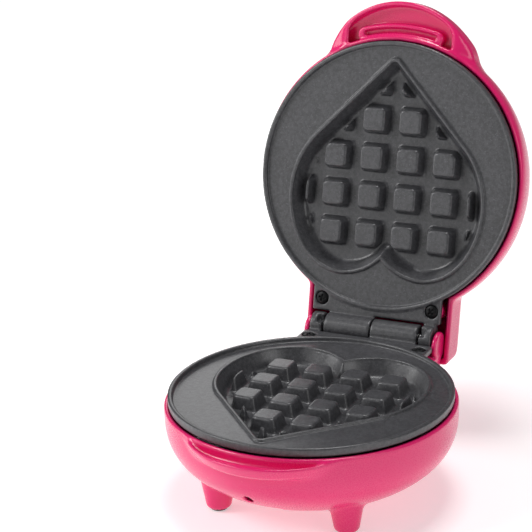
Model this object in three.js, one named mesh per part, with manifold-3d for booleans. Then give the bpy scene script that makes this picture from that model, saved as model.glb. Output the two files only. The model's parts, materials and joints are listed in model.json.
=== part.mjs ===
// Mini waffle maker with heart-shaped cavities, lid open on its stop. Millimetres.
// X right, Y back, Z up. Pieces are drawn closed, with the hinge axis and the parting plane
// between the plates at Z = 0 and the plates centred on X = Y = 0. The lid's pieces hang in a
// group that turns about the hinge axis, and the whole appliance is set on its feet at the end.
import * as THREE from 'three';
import { mergeVertices } from 'three/addons/utils/BufferGeometryUtils.js';
import Module from 'manifold-3d';

const wasm = await Module();
wasm.setup();

const right = Math.PI / 2;
const rad = THREE.MathUtils.degToRad;

// ---- Driving dimensions ----
const plateRadius = 61;        // outside of the round cooking plates
const plateThickness = 3.6;    // edge of a plate, from rim top to underside
const plateGap = 0.56;         // between the two rims when closed
const rimWidth = 2;            // raised rim round a plate
const faceDepth = 2;           // plate face below its rim
const heartMargin = 8.4;       // plate edge to the tip of the heart
const heartDepth = 8.8;        // cavity floor below the rim
const heartDraft = 3.2;        // cavity wall leans in by this at the floor
const heartCleft = 0.666;      // middle to the cleft, as a share of middle to tip
const panWall = 2;             // metal under and round the cavity
const beadWidth = 1.8;         // raised bead round the heart
const beadHeight = 1;
const waffleGrid = 17.5;       // spacing of the waffle blocks
const blockTop = 10.2;         // side of a block at its top
const blockBase = 13;          // side of a block at the cavity floor
const blockHeight = 6.2;
const blockInset = 4.5;        // blocks are trimmed this far inside the heart

const openAngle = 103.5;       // lid from closed to its stop, degrees
const hingeSetback = 9.4;      // plate edge to hinge axis
const barrelRadius = 5.7;
const barrelNotch = 3;         // square nick at the inner end of a short barrel
const pinRadius = 1.5;
const pinClearance = 0.3;
const tabHalfWidth = 31;       // plate's hinge tab
const tabShoulder = 1.7;       // tab edge to the outer end of the barrels
const endBarrel = 5.5;         // length of the short barrel
const barrelGap = 0.8;         // between the two long barrels
const endGap = 1.3;            // between a long barrel and the short one beyond it
const swingClearance = 0.7;    // round the barrels
const earClearance = 0.6;      // each side of an ear
const earThickness = 2.3;
const earRadius = 6.3;
const earDrop = 3;             // ear's centre below the hinge axis

const wall = 2.2;              // moulded plastic
const bodyOverhang = 1.7;      // body is this much wider than the plates, each side
const bowlDepth = 32;          // lower body below its rim
const bowlInward = 19.5;       // lower body's widest radius to its flat bottom
const domeCrown = 46.6;        // top of the lid above the parting plane
const domeShoulder = 33;       // where the crown meets the side
const domeInward = 9.8;        // lid's widest radius to its shoulder
const shoulderSoftening = 1.5; // shoulder's edge to the start of the crown
const fit = 0.3;               // gap between pieces that touch
const bodySegments = 40;

const gripRadius = 38;         // lid grip in plan
const gripUndercut = 0.76;     // of the grip's radius: half width of its skirt
const gripReach = 17.8;        // lid grip beyond the plate edge
const gripTopFront = 12;
const gripTopBack = 16;
const lipRadius = 40;          // lower grip in plan
const lipReach = 10;           // lower grip beyond the plate edge
const lipTop = -6;
const lipBottom = -12.5;

const tailReach = 12;          // hinge axis to the back of the lid's hinge cover
const tailHeight = 19;         // top of the cover's back above the parting plane
const tailLean = 3.1;          // the back leans in by this over its height
const rampSlope = 0.6;         // fall of the cover's top per length
const rampTop = 33.6;          // where the ramp meets the lid's shoulder
const hipSlope = 1.2;          // the cover's top also falls to its sides

const footHeight = 10;         // feet below the flat bottom
const footTopRadius = 7.3;
const footRadius = 5.2;
const frontFootOverhang = 0.6; // front feet's centres outside the flat bottom
const frontFootAngle = 47.9;   // degrees from the X axis
const rearFootOverhang = 1.2;  // rear feet's centres outside the body's widest circle
const rearFootAngle = 69.9;
const padRadius = 3.8;
const padThickness = 1.2;

const coverMargin = 4.7;       // flat bottom's edge to the cover
const coverThickness = 2;
const coverScrewInset = 4.2;   // cover edge to its screws
const coverScrews = 3;
const screwHead = 2.9;         // radius of a plate screw's head
const screwShank = 1.5;
const screwLength = 11;
const bossRadius = 4.2;        // bosses of the plate screws
const coverScrewLength = 8;
const coverScrewBore = 1.6;
const coverBossHeight = 10;
const coverBossRadius = 3.6;
const ventLength = 14;         // slots in the cover
const ventWidth = 1.6;
const ventPitch = 4;
const ventRows = 3;            // each side of the middle one
const plateScrewSide = 4.3;    // tab edge to a plate screw
const plateScrewInset = 2.7;   // plate screws inside the plate edge

const elementTube = 3.2;       // radius of the heater tube
const elementInset = 25;       // heater ring inside the plate edge
const reflectorInset = 11;
const reflectorFlare = 1.5;    // its rim is this much wider than its floor
const reflectorGap = 2;        // heater tube to reflector
const sheet = 0.7;
const leadGap = 24;            // half of the heater's open arc, degrees
const thermostatRadius = 8;
const fuseRadius = 2;
const fuseOffset = 16;         // fuse behind the plate centre
const terminalHalfWidth = 12;
const terminalFront = 6;       // behind the plate centre
const terminalDepth = 12;
const terminalHeight = 7.5;
const terminalSpacing = 8;     // between its screw wells
const lensRadius = 6;
const lensBack = 24;           // lens behind the plate centre
const lensTilt = 6.5;          // degrees
const glandBore = 3.4;
const glandHeight = 11.5;      // cord inlet above the flat bottom
const inletWall = 2.4;         // plastic round the gland
const glandClear = 1;          // gland's inner end to the reflector

// ---- Sizes that follow ----
const hingeY = plateRadius + hingeSetback;
const bodyRadius = plateRadius + bodyOverhang;
const lidRadius = bodyRadius + 0.6;
const rimLevel = plateGap / 2 + plateThickness + 2 * fit;
const bottomLevel = -rimLevel - bowlDepth;
const panLevel = heartDepth + panWall + plateGap / 2;
const tabEnd = hingeY - barrelRadius - swingClearance;
const plateScrewX = tabHalfWidth - plateScrewSide;
const plateScrewY = plateRadius - plateScrewInset;
const barrelReach = tabHalfWidth - tabShoulder;
const longBarrel = barrelReach - endBarrel - endGap - barrelGap / 2;
const earInner = barrelReach + earClearance;
const earOuter = earInner + earThickness;
const tailHalfWidth = earOuter + earClearance + wall;
const crownEdge = lidRadius - domeInward - shoulderSoftening;
const crownRise = domeCrown - domeShoulder - 0.5;
const crownRadius = (crownEdge ** 2 + crownRise ** 2) / (2 * crownRise);
const flatRadius = bodyRadius - bowlInward;
const coverRadius = flatRadius - coverMargin;
const reflectorDrop = panLevel + fit + 2 * elementTube + reflectorGap + sheet;
const glandDrop = -bottomLevel - glandHeight;
const inletRadius = glandBore + wall + inletWall;
const stopReach = rimLevel * Math.sin(rad(openAngle)) + tailReach * Math.cos(rad(openAngle)) - fit;
const gripCentre = -(plateRadius + gripReach - gripRadius);
const lipCentre = -(plateRadius + lipReach - lipRadius);
const inletFace = bodyRadius + 0.6;
const coverScrewRing = coverRadius - coverScrewInset;

// Feet: [x, y, level that the leg rises to], the rear ones far enough back to carry the open lid.
function feet() {
  const places = [];
  for (const [end, ring, angle, top] of [
    ['front', flatRadius + frontFootOverhang, -frontFootAngle, bottomLevel + 12],
    ['rear', bodyRadius + rearFootOverhang, rearFootAngle, inletRadius - glandDrop + 1]]) {
    for (const [hand, side] of [['left', -1], ['right', 1]]) {
      const x = side * ring * Math.cos(rad(angle));
      places.push({ name: `${end}_${hand}`, x, y: ring * Math.sin(rad(angle)), top });
    }
  }
  return places;
}

const footPlaces = feet();
const screwPlaces = Array.from({ length: coverScrews }, (_, i) => {
  const angle = right + (i * 2 * Math.PI) / coverScrews;
  return [coverScrewRing * Math.cos(angle), coverScrewRing * Math.sin(angle)];
});

// ---- Solids ----

function solid(geometry) {
  geometry.deleteAttribute('normal');
  geometry.deleteAttribute('uv');
  const merged = mergeVertices(geometry.index ? geometry.toNonIndexed() : geometry, 1e-4);
  const index = merged.index.array;
  const triangles = [];
  for (let i = 0; i < index.length; i += 3) {
    const [a, b, c] = index.slice(i, i + 3);
    if (a !== b && b !== c && c !== a) triangles.push(a, b, c);
  }
  return new wasm.Manifold(new wasm.Mesh({
    numProp: 3,
    vertProperties: new Float32Array(merged.attributes.position.array),
    triVerts: new Uint32Array(triangles),
  }));
}

function block(width, depth, height, x, y, z) {
  return solid(new THREE.BoxGeometry(width, depth, height).translate(x, y, z));
}

// A box given by its lowest and highest corners.
function between(low, high) {
  const [w, d, h] = high.map((value, i) => value - low[i]);
  return block(w, d, h, low[0] + w / 2, low[1] + d / 2, low[2] + h / 2);
}

function post(radius, low, high, x = 0, y = 0, topRadius = radius, sides = 16) {
  const cylinder = new THREE.CylinderGeometry(topRadius, radius, high - low, sides);
  return solid(cylinder.rotateX(right).translate(x, y, (low + high) / 2));
}

function rodX(radius, from, to, y, z, sides = 16) {
  const cylinder = new THREE.CylinderGeometry(radius, radius, to - from, sides);
  return solid(cylinder.rotateZ(right).translate((from + to) / 2, y, z));
}

function rodY(radius, from, to, x, z, sides = 16) {
  const cylinder = new THREE.CylinderGeometry(radius, radius, to - from, sides);
  return solid(cylinder.translate(x, (from + to) / 2, z));
}

// A turned shape from [radius, height] points, bottom to top.
function turned(points, segments = 32) {
  const profile = points.map(([radius, height]) => new THREE.Vector2(radius, height));
  return solid(new THREE.LatheGeometry(profile, segments).rotateX(right));
}

// A plan outline raised from low to high, moved outwards by grow.
function prism(outline, low, high, grow = 0) {
  const options = { depth: high - low, bevelSegments: 0, bevelThickness: 0 };
  Object.assign(options, { bevelEnabled: true, bevelSize: 0, bevelOffset: grow });
  return solid(new THREE.ExtrudeGeometry(outline, options).translate(0, 0, low));
}

// The same with walls that lean in by draft from shoulder down to low.
function drafted(outline, low, shoulder, high, draft, grow = 0) {
  const options = { depth: high - shoulder, bevelSegments: 1 };
  Object.assign(options, { bevelThickness: shoulder - low, bevelSize: draft });
  Object.assign(options, { bevelEnabled: true, bevelOffset: grow - draft });
  return solid(new THREE.ExtrudeGeometry(outline, options).translate(0, 0, shoulder));
}

function joined(...pieces) {
  return pieces.reduce((all, piece) => all.add(piece));
}

function mesh(name, material, shape) {
  const result = shape.getMesh();
  const geometry = new THREE.BufferGeometry();
  geometry.setAttribute('position', new THREE.BufferAttribute(result.vertProperties, 3));
  geometry.setIndex(new THREE.BufferAttribute(result.triVerts, 1));
  const piece = new THREE.Mesh(geometry, material);
  piece.name = name;
  return piece;
}

// A ring sector in plan, centred on the plates, opening towards the front.
function frontSector(inner, outer, halfAngle) {
  const outline = new THREE.Shape();
  outline.absarc(0, 0, outer, -right - halfAngle, -right + halfAngle, false);
  outline.absarc(0, 0, inner, -right + halfAngle, -right - halfAngle, true);
  outline.closePath();
  return outline;
}

// ---- Finishes ----
const finish = (color, roughness, metalness) =>
  new THREE.MeshStandardMaterial({ color, roughness, metalness });
const pinkPlastic = finish('#d8306f', 0.25, 0);
const nonStick = finish('#4b4c4f', 0.5, 0.3);
const blackSteel = finish('#161616', 0.4, 0.8);
const brightSteel = finish('#b9bcc0', 0.3, 1);
const heaterSheath = finish('#7d7f80', 0.45, 1);
const aluminised = finish('#c6c9cc', 0.35, 1);
const amber = finish('#a8562c', 0.2, 0);
const clearGlass = finish('#e8c9a8', 0.1, 0);
const blackRubber = finish('#1b1b1c', 0.8, 0);
const whiteCeramic = finish('#e4e0d6', 0.6, 0);

// ---- Cooking plates ----
// The heart, tip towards the front. Its arcs are proportions of its length from plate centre
// to tip, so that it keeps its shape on a larger plate.
function heartOutline() {
  const tip = plateRadius - heartMargin;
  const arc = (x, y, rx, ry, from, to, steps) => Array.from({ length: steps }, (_, i) => {
    const angle = rad(from + ((to - from) * i) / steps);
    return [x + rx * Math.cos(angle), y + ry * Math.sin(angle)];
  });
  const half = [
    ...arc(0.122, 0.209, 0.743, 0.743, -43.4, 0, 6),
    ...arc(0.371, 0.209, 0.494, 0.635, 0, 90, 7),
    ...arc(0.371, 0.369, 0.475, 0.475, 90, 141.3, 5),
  ];
  const mirrored = half.map(([x, y]) => [-x, y]).reverse();
  const points = [[0, -1], ...half, [0, heartCleft], ...mirrored];
  return new THREE.Shape(points.map(([x, y]) => new THREE.Vector2(x * tip, y * tip)));
}

// One casting serves for both plates: turned over about Y, its barrels mesh with the other's.
function plateCasting() {
  const heart = heartOutline();
  const floor = -heartDepth;
  const blocks = [];
  const reach = Math.floor(plateRadius / waffleGrid);
  const taper = Math.SQRT1_2;
  for (let i = -reach; i < reach; i += 1) {
    for (let j = -reach; j < reach; j += 1) {
      const y = (j + 0.5) * waffleGrid + 1;
      if (y > heartCleft * (plateRadius - heartMargin)) continue;
      const frustum = new THREE.CylinderGeometry(
        blockTop * taper, blockBase * taper, blockHeight + 1, 4);
      frustum.rotateY(Math.PI / 4).rotateX(right);
      frustum.translate((i + 0.5) * waffleGrid, y, floor - 1 + (blockHeight + 1) / 2);
      blocks.push(solid(frustum));
    }
  }
  const trim = drafted(heart, floor - 2, floor + blockHeight, floor + blockHeight + 1,
    -heartDraft / 2, -blockInset);
  const waffle = joined(...blocks).intersect(trim);

  const disc = post(plateRadius, -plateThickness, 0, 0, 0, plateRadius, bodySegments);
  const face = post(plateRadius - rimWidth, -faceDepth, 1, 0, 0, plateRadius - rimWidth,
    bodySegments);
  const tab = between([-tabHalfWidth, plateRadius / 2, -plateThickness],
    [tabHalfWidth, tabEnd, 0]);
  const rim = disc.subtract(face);
  const flange = tab.subtract(post(plateRadius - rimWidth, -plateThickness - 1, 1, 0, 0,
    plateRadius - rimWidth, bodySegments));
  const sole = post(plateRadius - rimWidth / 2, -plateThickness, -faceDepth, 0, 0,
    plateRadius - rimWidth / 2, bodySegments);
  const pan = prism(heart, floor - panWall, -faceDepth - 0.5, panWall / 2);
  const bead = prism(heart, -faceDepth - 0.5, -faceDepth + beadHeight, beadWidth);
  const cavity = drafted(heart, floor, -faceDepth, 1, heartDraft);
  let plate = joined(rim, flange, sole, pan, bead).subtract(cavity).add(waffle);

  const axisLevel = plateGap / 2;
  const spans = [[-barrelReach, -barrelReach + endBarrel],
    [barrelGap / 2, barrelGap / 2 + longBarrel]];
  for (const [from, to] of spans) {
    const web = between([from, tabEnd - 2, -plateThickness], [to, hingeY, 0]);
    plate = plate.add(rodX(barrelRadius, from, to, hingeY, axisLevel)).add(web);
  }
  const notch = block(barrelNotch, barrelNotch, barrelNotch, -barrelReach + endBarrel,
    hingeY - barrelRadius / 2, axisLevel + barrelRadius);
  plate = plate.subtract(notch);
  plate = plate.subtract(rodX(pinRadius + pinClearance, -barrelReach - 1, barrelReach + 1,
    hingeY, axisLevel, 16));
  for (const side of [-1, 1]) {
    const x = side * plateScrewX;
    plate = plate.subtract(post(screwHead + fit, -1.9, 1, x, plateScrewY));
    plate = plate.subtract(post(screwShank + fit, -plateThickness - 1, 0, x, plateScrewY));
  }
  return plate;
}

// ---- Screws ----
// A pan-head screw, head up, top of the head at zero, with a cross recess.
function crossScrew(headRadius, headHeight, shankRadius, length) {
  const head = post(headRadius, -headHeight, 0, 0, 0, headRadius * 0.92, 12);
  const shank = post(shankRadius * 0.8, -length, -headHeight / 2, 0, 0, shankRadius, 8);
  const arm = headRadius * 1.2;
  const slot = headRadius * 0.24;
  const cross = block(arm, slot, headHeight, 0, 0, 0).add(block(slot, arm, headHeight, 0, 0, 0));
  return head.add(shank).subtract(cross);
}

// ---- Lower body ----
function bowlRadius(level) {
  const widest = -rimLevel - 2.5;
  const t = Math.max(0, (widest - level) / (widest - bottomLevel));
  return bodyRadius - bowlInward * t ** 3;
}

function bowlProfile(inset, bottom, top) {
  const steps = 6;
  const points = [[0, bottom]];
  for (let i = 0; i <= steps; i += 1) {
    const level = bottom + (top - bottom) * Math.sin((right * i) / steps);
    points.push([bowlRadius(level) - inset, level]);
  }
  points.push([0, top]);
  return points;
}

function lowerHousing() {
  const floor = bottomLevel + coverThickness + fit + wall;
  let shell = turned(bowlProfile(0, bottomLevel, -rimLevel), bodySegments);
  const lip = post(lipRadius - 3, lipBottom, lipTop, 0, lipCentre, lipRadius, bodySegments);
  shell = shell.add(lip.intersect(block(200, 200, 200, 0, -100, 0)));

  // Rear block behind the bowl: it carries the plate screws and the ears, and stops the lid.
  const rearTop = -barrelRadius - swingClearance - 0.2;
  const rearBottom = inletRadius - glandDrop;
  const rearBack = hingeY + stopReach;
  shell = shell.add(between([-earOuter, 0, rearBottom], [earOuter, rearBack, rearTop]));
  for (const side of [-1, 1]) {
    const [from, to] = side > 0 ? [earInner, earOuter] : [-earOuter, -earInner];
    shell = shell.add(rodX(earRadius, from, to, hingeY + 0.5, -earDrop));
    shell = shell.add(post(bossRadius, rearTop - 1, -rimLevel, side * plateScrewX, plateScrewY));
  }
  for (const { x, y, top } of footPlaces) {
    const ground = bottomLevel - footHeight;
    const ankle = bottomLevel + 2;
    shell = shell.add(post(footRadius, ground + 0.5, ankle, x, y, footTopRadius));
    shell = shell.add(post(footTopRadius, ankle - 0.5, top, x, y));
  }
  const inlet = rodY(inletRadius, 0, inletFace, 0, -glandDrop);
  shell = shell.add(inlet);

  // Hollows.
  shell = shell.subtract(turned(bowlProfile(wall, floor, -rimLevel + 1), bodySegments));
  shell = shell.subtract(post(coverRadius - 3.5, bottomLevel - 1, floor + 1, 0, 0,
    coverRadius - 3.5, 32));
  shell = shell.subtract(post(coverRadius + fit, bottomLevel - 1,
    bottomLevel + coverThickness + fit, 0, 0, coverRadius + fit, 32));
  const hollow = between([-earOuter + wall, 0, rearBottom - 1],
    [earOuter - wall, rearBack - wall, rearTop - wall]);
  const core = turned(bowlProfile(wall / 2, bottomLevel, -rimLevel), bodySegments);
  shell = shell.subtract(hollow.subtract(core));
  const thumb = post(lipRadius - 2, lipTop - 5, lipTop + 5, 0, lipCentre, lipRadius - 2,
    bodySegments);
  const keep = post(plateRadius + 0.4, -40, 40, 0, 0, plateRadius + 0.4, bodySegments);
  shell = shell.subtract(thumb.subtract(keep));
  const doorway = between([-3.2, -bodyRadius, bottomLevel - 1], [3.2, -44, bottomLevel + 10]);
  shell = shell.subtract(doorway);
  shell = shell.subtract(rodY(glandBore + wall, 40, bodyRadius + 9, 0, -glandDrop));

  // Legs stand through the hollow; then the bosses and their bores.
  for (const { x, y } of footPlaces) {
    shell = shell.subtract(post(padRadius + fit, bottomLevel - footHeight - 1,
      bottomLevel - footHeight + padThickness + fit, x, y));
  }
  for (const side of [-1, 1]) {
    const x = side * plateScrewX;
    shell = shell.add(post(bossRadius, rearBottom, -rimLevel, x, plateScrewY));
    shell = shell.subtract(post(screwShank + fit, -rimLevel - screwLength - 1, 0, x, plateScrewY));
  }
  for (const [x, y] of screwPlaces) {
    const seat = bottomLevel + coverThickness + fit;
    shell = shell.add(post(coverBossRadius, seat, bottomLevel + coverBossHeight, x, y));
    shell = shell.subtract(post(coverScrewBore, bottomLevel, bottomLevel + coverBossHeight - 1,
      x, y, coverScrewBore, 12));
  }
  return shell;
}

function baseCover() {
  let cover = post(coverRadius, bottomLevel, bottomLevel + coverThickness, 0, 0, coverRadius, 32);
  for (let i = -ventRows; i <= ventRows; i += 1) {
    cover = cover.subtract(block(ventLength, ventWidth, 10, 0, i * ventPitch, bottomLevel));
  }
  for (const [x, y] of screwPlaces) {
    cover = cover.subtract(post(coverScrewBore, bottomLevel - 1, bottomLevel + 5, x, y,
      coverScrewBore, 12));
    cover = cover.subtract(post(3, bottomLevel - 1, bottomLevel + 1.2, x, y, 3, 16));
  }
  return cover;
}

// ---- Lid ----
function domeRadius(level) {
  const widest = rimLevel + 4;
  const t = Math.max(0, (level - widest) / (domeShoulder - widest));
  return lidRadius - domeInward * t ** 2.2;
}

function domeProfile(inset, bottom) {
  const points = [[0, bottom]];
  const steps = 5;
  const shoulder = domeShoulder - inset * 0.6;
  for (let i = 0; i <= steps; i += 1) {
    const level = bottom + (shoulder - bottom) * Math.sin((right * i) / steps);
    const widest = rimLevel + 4;
    const ease = level < widest ? 0.7 * ((widest - level) / (widest - rimLevel)) ** 2 : 0;
    points.push([domeRadius(Math.min(level + inset * 0.6, domeShoulder)) - inset - ease, level]);
  }
  const crownStart = crownEdge - inset;
  const crownSteps = 4;
  for (let i = 0; i <= crownSteps; i += 1) {
    const r = crownStart * (1 - i / crownSteps);
    points.push([r, domeCrown - inset - crownRadius + Math.sqrt(crownRadius ** 2 - r ** 2)]);
  }
  return points;
}

// Side view of the hinge cover, inset from its outer faces, raised along X.
function tailBody(inset, bottom) {
  const back = hingeY + tailReach - inset;
  const top = tailHeight - inset;
  const front = plateRadius / 2;
  const outline = new THREE.Shape();
  outline.moveTo(front, bottom);
  outline.lineTo(back, bottom);
  outline.lineTo(back - tailLean, top);
  outline.lineTo(back - tailLean - (rampTop - tailHeight) / rampSlope, rampTop - inset);
  outline.lineTo(front + 10, rampTop - inset - 3);
  outline.lineTo(front, top);
  outline.closePath();
  const half = tailHalfWidth - inset;
  const bevel = inset > 0 ? 0.3 : 1.6;
  const options = { depth: 2 * (half - bevel), bevelEnabled: true, bevelSegments: 2 };
  Object.assign(options, { bevelThickness: bevel, bevelSize: bevel, bevelOffset: -bevel });
  const geometry = new THREE.ExtrudeGeometry(outline, options);
  geometry.translate(0, 0, -(half - bevel));
  geometry.rotateX(right).rotateZ(right);

  // The same cover seen from behind: level sides with a hipped top between them.
  const eaves = tailHeight + inset * hipSlope - inset * Math.hypot(1, hipSlope);
  const ridge = domeCrown;
  const run = (ridge - eaves) / hipSlope;
  const behind = new THREE.Shape([[-half, bottom], [half, bottom], [half, eaves],
    [half - run, ridge], [run - half, ridge], [-half, eaves]]
    .map(([x, z]) => new THREE.Vector2(x, z)));
  const hip = new THREE.ExtrudeGeometry(behind, { depth: back, bevelEnabled: false });
  return solid(geometry).intersect(solid(hip.rotateX(right).translate(0, back + 1, 0)));
}

function upperHousing() {
  const bottom = rimLevel;
  const above = block(400, 400, 200, 0, 0, bottom + 100);
  let shell = turned(domeProfile(0, bottom), bodySegments);
  shell = shell.add(tailBody(0, bottom - 2).intersect(above));
  const gripBlank = post(gripRadius - 0.6, bottom, gripTopBack, 0, gripCentre, gripRadius,
    bodySegments);
  const slope = (gripTopBack - gripTopFront) / gripReach;
  const slab = new THREE.BoxGeometry(200, 200, 40).translate(0, 0, 20);
  slab.rotateX(Math.atan(slope)).translate(0, -plateRadius - gripReach, gripTopFront);
  const front = block(200, 200, 200, 0, -120, 0);
  const grip = gripBlank.subtract(solid(slab)).intersect(front);
  const skirt = gripRadius * gripUndercut;
  const trimmed = grip.subtract(between([skirt, -100, 0], [60, 0, bottom + 4]))
    .subtract(between([-60, -100, 0], [-skirt, 0, bottom + 4]));
  shell = shell.add(trimmed);

  // Collar round the indicator lens.
  const collar = post(8.6, -3, 1.6, 0, 0, 7.2, 20).rotate([-lensTilt, 0, 0])
    .translate([0, lensBack, lensLevel()]);
  shell = shell.add(collar);

  // Hollows.
  shell = shell.subtract(turned(domeProfile(wall, bottom - 1), bodySegments));
  shell = shell.subtract(tailBody(wall, bottom - 3));
  const sweep = post(plateRadius + fit, 0, bottom + 1.5, 0, 0, plateRadius + fit, bodySegments);
  shell = shell.subtract(sweep);
  const lensHole = post(lensRadius - 1 + fit, -12, 12, 0, 0, lensRadius - 1 + fit, 20)
    .add(post(lensRadius + fit, -0.2, 12)).rotate([-lensTilt, 0, 0])
    .translate([0, lensBack, lensLevel()]);
  shell = shell.subtract(lensHole);

  // Underside of the grip, with the slotted rib against the rim.
  const roof = gripTopFront - 2.4;
  const scoop = post(gripRadius - 2.2, bottom - 1, roof, 0, gripCentre, gripRadius - 2.4,
    bodySegments).intersect(front);
  const keep = post(lidRadius, 0, 60, 0, 0, lidRadius, bodySegments);
  const rib = prism(frontSector(lidRadius - 1, plateRadius + 7.6, rad(15.5)), bottom + 0.4, roof);
  shell = shell.subtract(scoop.subtract(keep).subtract(rib));
  const slot = prism(frontSector(plateRadius + 3.6, plateRadius + 5.9, rad(14)), 0, roof - 1.6);
  shell = shell.subtract(slot);

  // Bosses for the plate screws hang from the ramp.
  for (const side of [-1, 1]) {
    const x = side * plateScrewX;
    const ceiling = tailHeight + (tailHalfWidth - plateScrewX - bossRadius) * hipSlope - 1;
    const boss = post(bossRadius, bottom, ceiling, x, plateScrewY);
    shell = shell.add(boss);
    shell = shell.subtract(post(screwShank + fit, 0, bottom + screwLength + 1, x, plateScrewY));
  }
  return shell;
}

function lensLevel() {
  return domeCrown - crownRadius + Math.sqrt(crownRadius ** 2 - lensBack ** 2);
}

// ---- Heaters and other inner pieces, drawn for the lower half ----
function heater() {
  const ring = plateRadius - elementInset;
  const level = -panLevel - fit - elementTube;
  const gap = rad(leadGap);
  const path = new THREE.CurvePath();
  const steps = 18;
  const points = [];
  for (let i = 0; i <= steps; i += 1) {
    const angle = right + gap + ((2 * Math.PI - 2 * gap) * i) / steps;
    points.push(new THREE.Vector3(ring * Math.cos(angle), ring * Math.sin(angle), level));
  }
  const first = points[0];
  const last = points[steps];
  const lead = (p) => [[0, 1.5, 0], [0, 3.5, -2], [0, 4.5, -6], [0, 4.5, -11]]
    .map((offset) => p.clone().add(new THREE.Vector3(...offset)));
  path.add(new THREE.CatmullRomCurve3([...lead(first).reverse(), ...points, ...lead(last)]));
  const outline = new THREE.Shape();
  outline.absarc(0, 0, elementTube, 0, 2 * Math.PI, false);
  const options = { steps: 36, curveSegments: 4, bevelEnabled: false, extrudePath: path };
  return solid(new THREE.ExtrudeGeometry(outline, options));
}

function reflector() {
  const radius = plateRadius - reflectorInset;
  const low = -reflectorDrop;
  const rise = 5;
  const lip = radius + reflectorFlare;
  const pan = turned([[0, low], [radius, low], [lip, low + rise],
    [lip - sheet, low + rise], [radius - sheet, low + sheet], [0, low + sheet]], 36);
  const ring = plateRadius - elementInset;
  const window = block(2 * ring * Math.sin(rad(leadGap)) + 12, 14, 30, 0,
    ring * Math.cos(rad(leadGap)) + 4.5, low);
  return pan.subtract(window);
}

function thermostat() {
  const top = -panLevel - fit;
  const cap = thermostatRadius - 3;
  return joined(post(thermostatRadius, top - 5.5, top, 0, 0, thermostatRadius, 20),
    post(cap, top - 7.5, top - 5, 0, 0, cap, 20), block(30, 3, 0.8, 0, 0, top - 6));
}

function thermalFuse() {
  const level = -panLevel - fit - fuseRadius;
  return rodX(fuseRadius, -5.5, 5.5, fuseOffset, level, 12)
    .add(rodX(0.6, -12, 12, fuseOffset, level, 8));
}

function terminalBlock() {
  const low = bottomLevel + coverThickness + fit;
  const back = terminalFront + terminalDepth;
  let body = between([-terminalHalfWidth, terminalFront, low],
    [terminalHalfWidth, back, low + terminalHeight]);
  for (const x of [-terminalSpacing, 0, terminalSpacing]) {
    body = body.subtract(post(2, low + 4, low + 8, x, terminalFront + terminalDepth / 2, 2, 12));
    body = body.subtract(rodY(1.6, terminalFront - 1, back + 1, x, low + 3, 12));
  }
  return body;
}

function cordGland() {
  const outer = glandBore + wall - fit;
  const stem = inletFace - (plateRadius - reflectorInset + reflectorFlare) - glandClear;
  const profile = [[glandBore, -stem], [outer, -stem], [outer, fit], [outer + 1.8, fit],
    [outer + 1.2, 2.4], [glandBore, 2.4], [glandBore, -stem]];
  const ring = new THREE.LatheGeometry(profile.map(([r, h]) => new THREE.Vector2(r, h)), 20);
  return solid(ring.translate(0, inletFace, -glandDrop));
}

// The lens sits on a step inside its collar; the neon lamp hangs below in a clip-in holder.
function lens() {
  const stem = lensRadius - 1;
  return turned([[0, -3], [stem, -3], [stem, 0], [lensRadius, 0], [lensRadius, 1.6],
    [lensRadius * 0.8, 2.3], [lensRadius * 0.45, 2.7], [0, 2.85]], 20);
}

function lampHolder() {
  const tube = post(4, -11, -3.4, 0, 0, 4, 20).subtract(post(2.6, -12, 0, 0, 0, 2.6, 16));
  return tube;
}

function lamp() {
  return turned([[0, -14], [2, -14], [2.2, -5], [1.2, -4], [0, -3.8]], 12);
}

// ---- Assembly ----
const casting = plateCasting();
const heaterShape = heater();
const reflectorShape = reflector();
const fuseShape = thermalFuse();
const plateScrew = crossScrew(screwHead, 1.5, screwShank, screwLength);
const coverScrew = crossScrew(2.7, 1, 1.3, coverScrewLength);

const base = new THREE.Group();
const lid = new THREE.Group();

base.add(mesh('lower_housing', pinkPlastic, lowerHousing()));
base.add(mesh('base_cover', pinkPlastic, baseCover()));
screwPlaces.forEach(([x, y], i) => {
  const screw = mesh(`base_cover_screw_${i + 1}`, blackSteel, coverScrew);
  screw.rotation.x = Math.PI;
  screw.position.set(x, y, bottomLevel + 0.1);
  base.add(screw);
});
for (const { name, x, y } of footPlaces) {
  const low = bottomLevel - footHeight;
  base.add(mesh(`foot_pad_${name}`, blackRubber, post(padRadius, low, low + padThickness, x, y)));
}
const lowerPlate = mesh('lower_plate', nonStick, casting);
lowerPlate.position.z = -plateGap / 2;
base.add(lowerPlate);
base.add(mesh('lower_heating_element', heaterSheath, heaterShape));
base.add(mesh('lower_reflector', aluminised, reflectorShape));
base.add(mesh('thermostat', whiteCeramic, thermostat()));
base.add(mesh('lower_thermal_fuse', brightSteel, fuseShape));
base.add(mesh('terminal_block', whiteCeramic, terminalBlock()));
base.add(mesh('cord_gland', blackRubber, cordGland()));
base.add(mesh('hinge_pin', brightSteel,
  rodX(pinRadius, -barrelReach + 0.3, barrelReach - 0.3, hingeY, 0, 16)));

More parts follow.
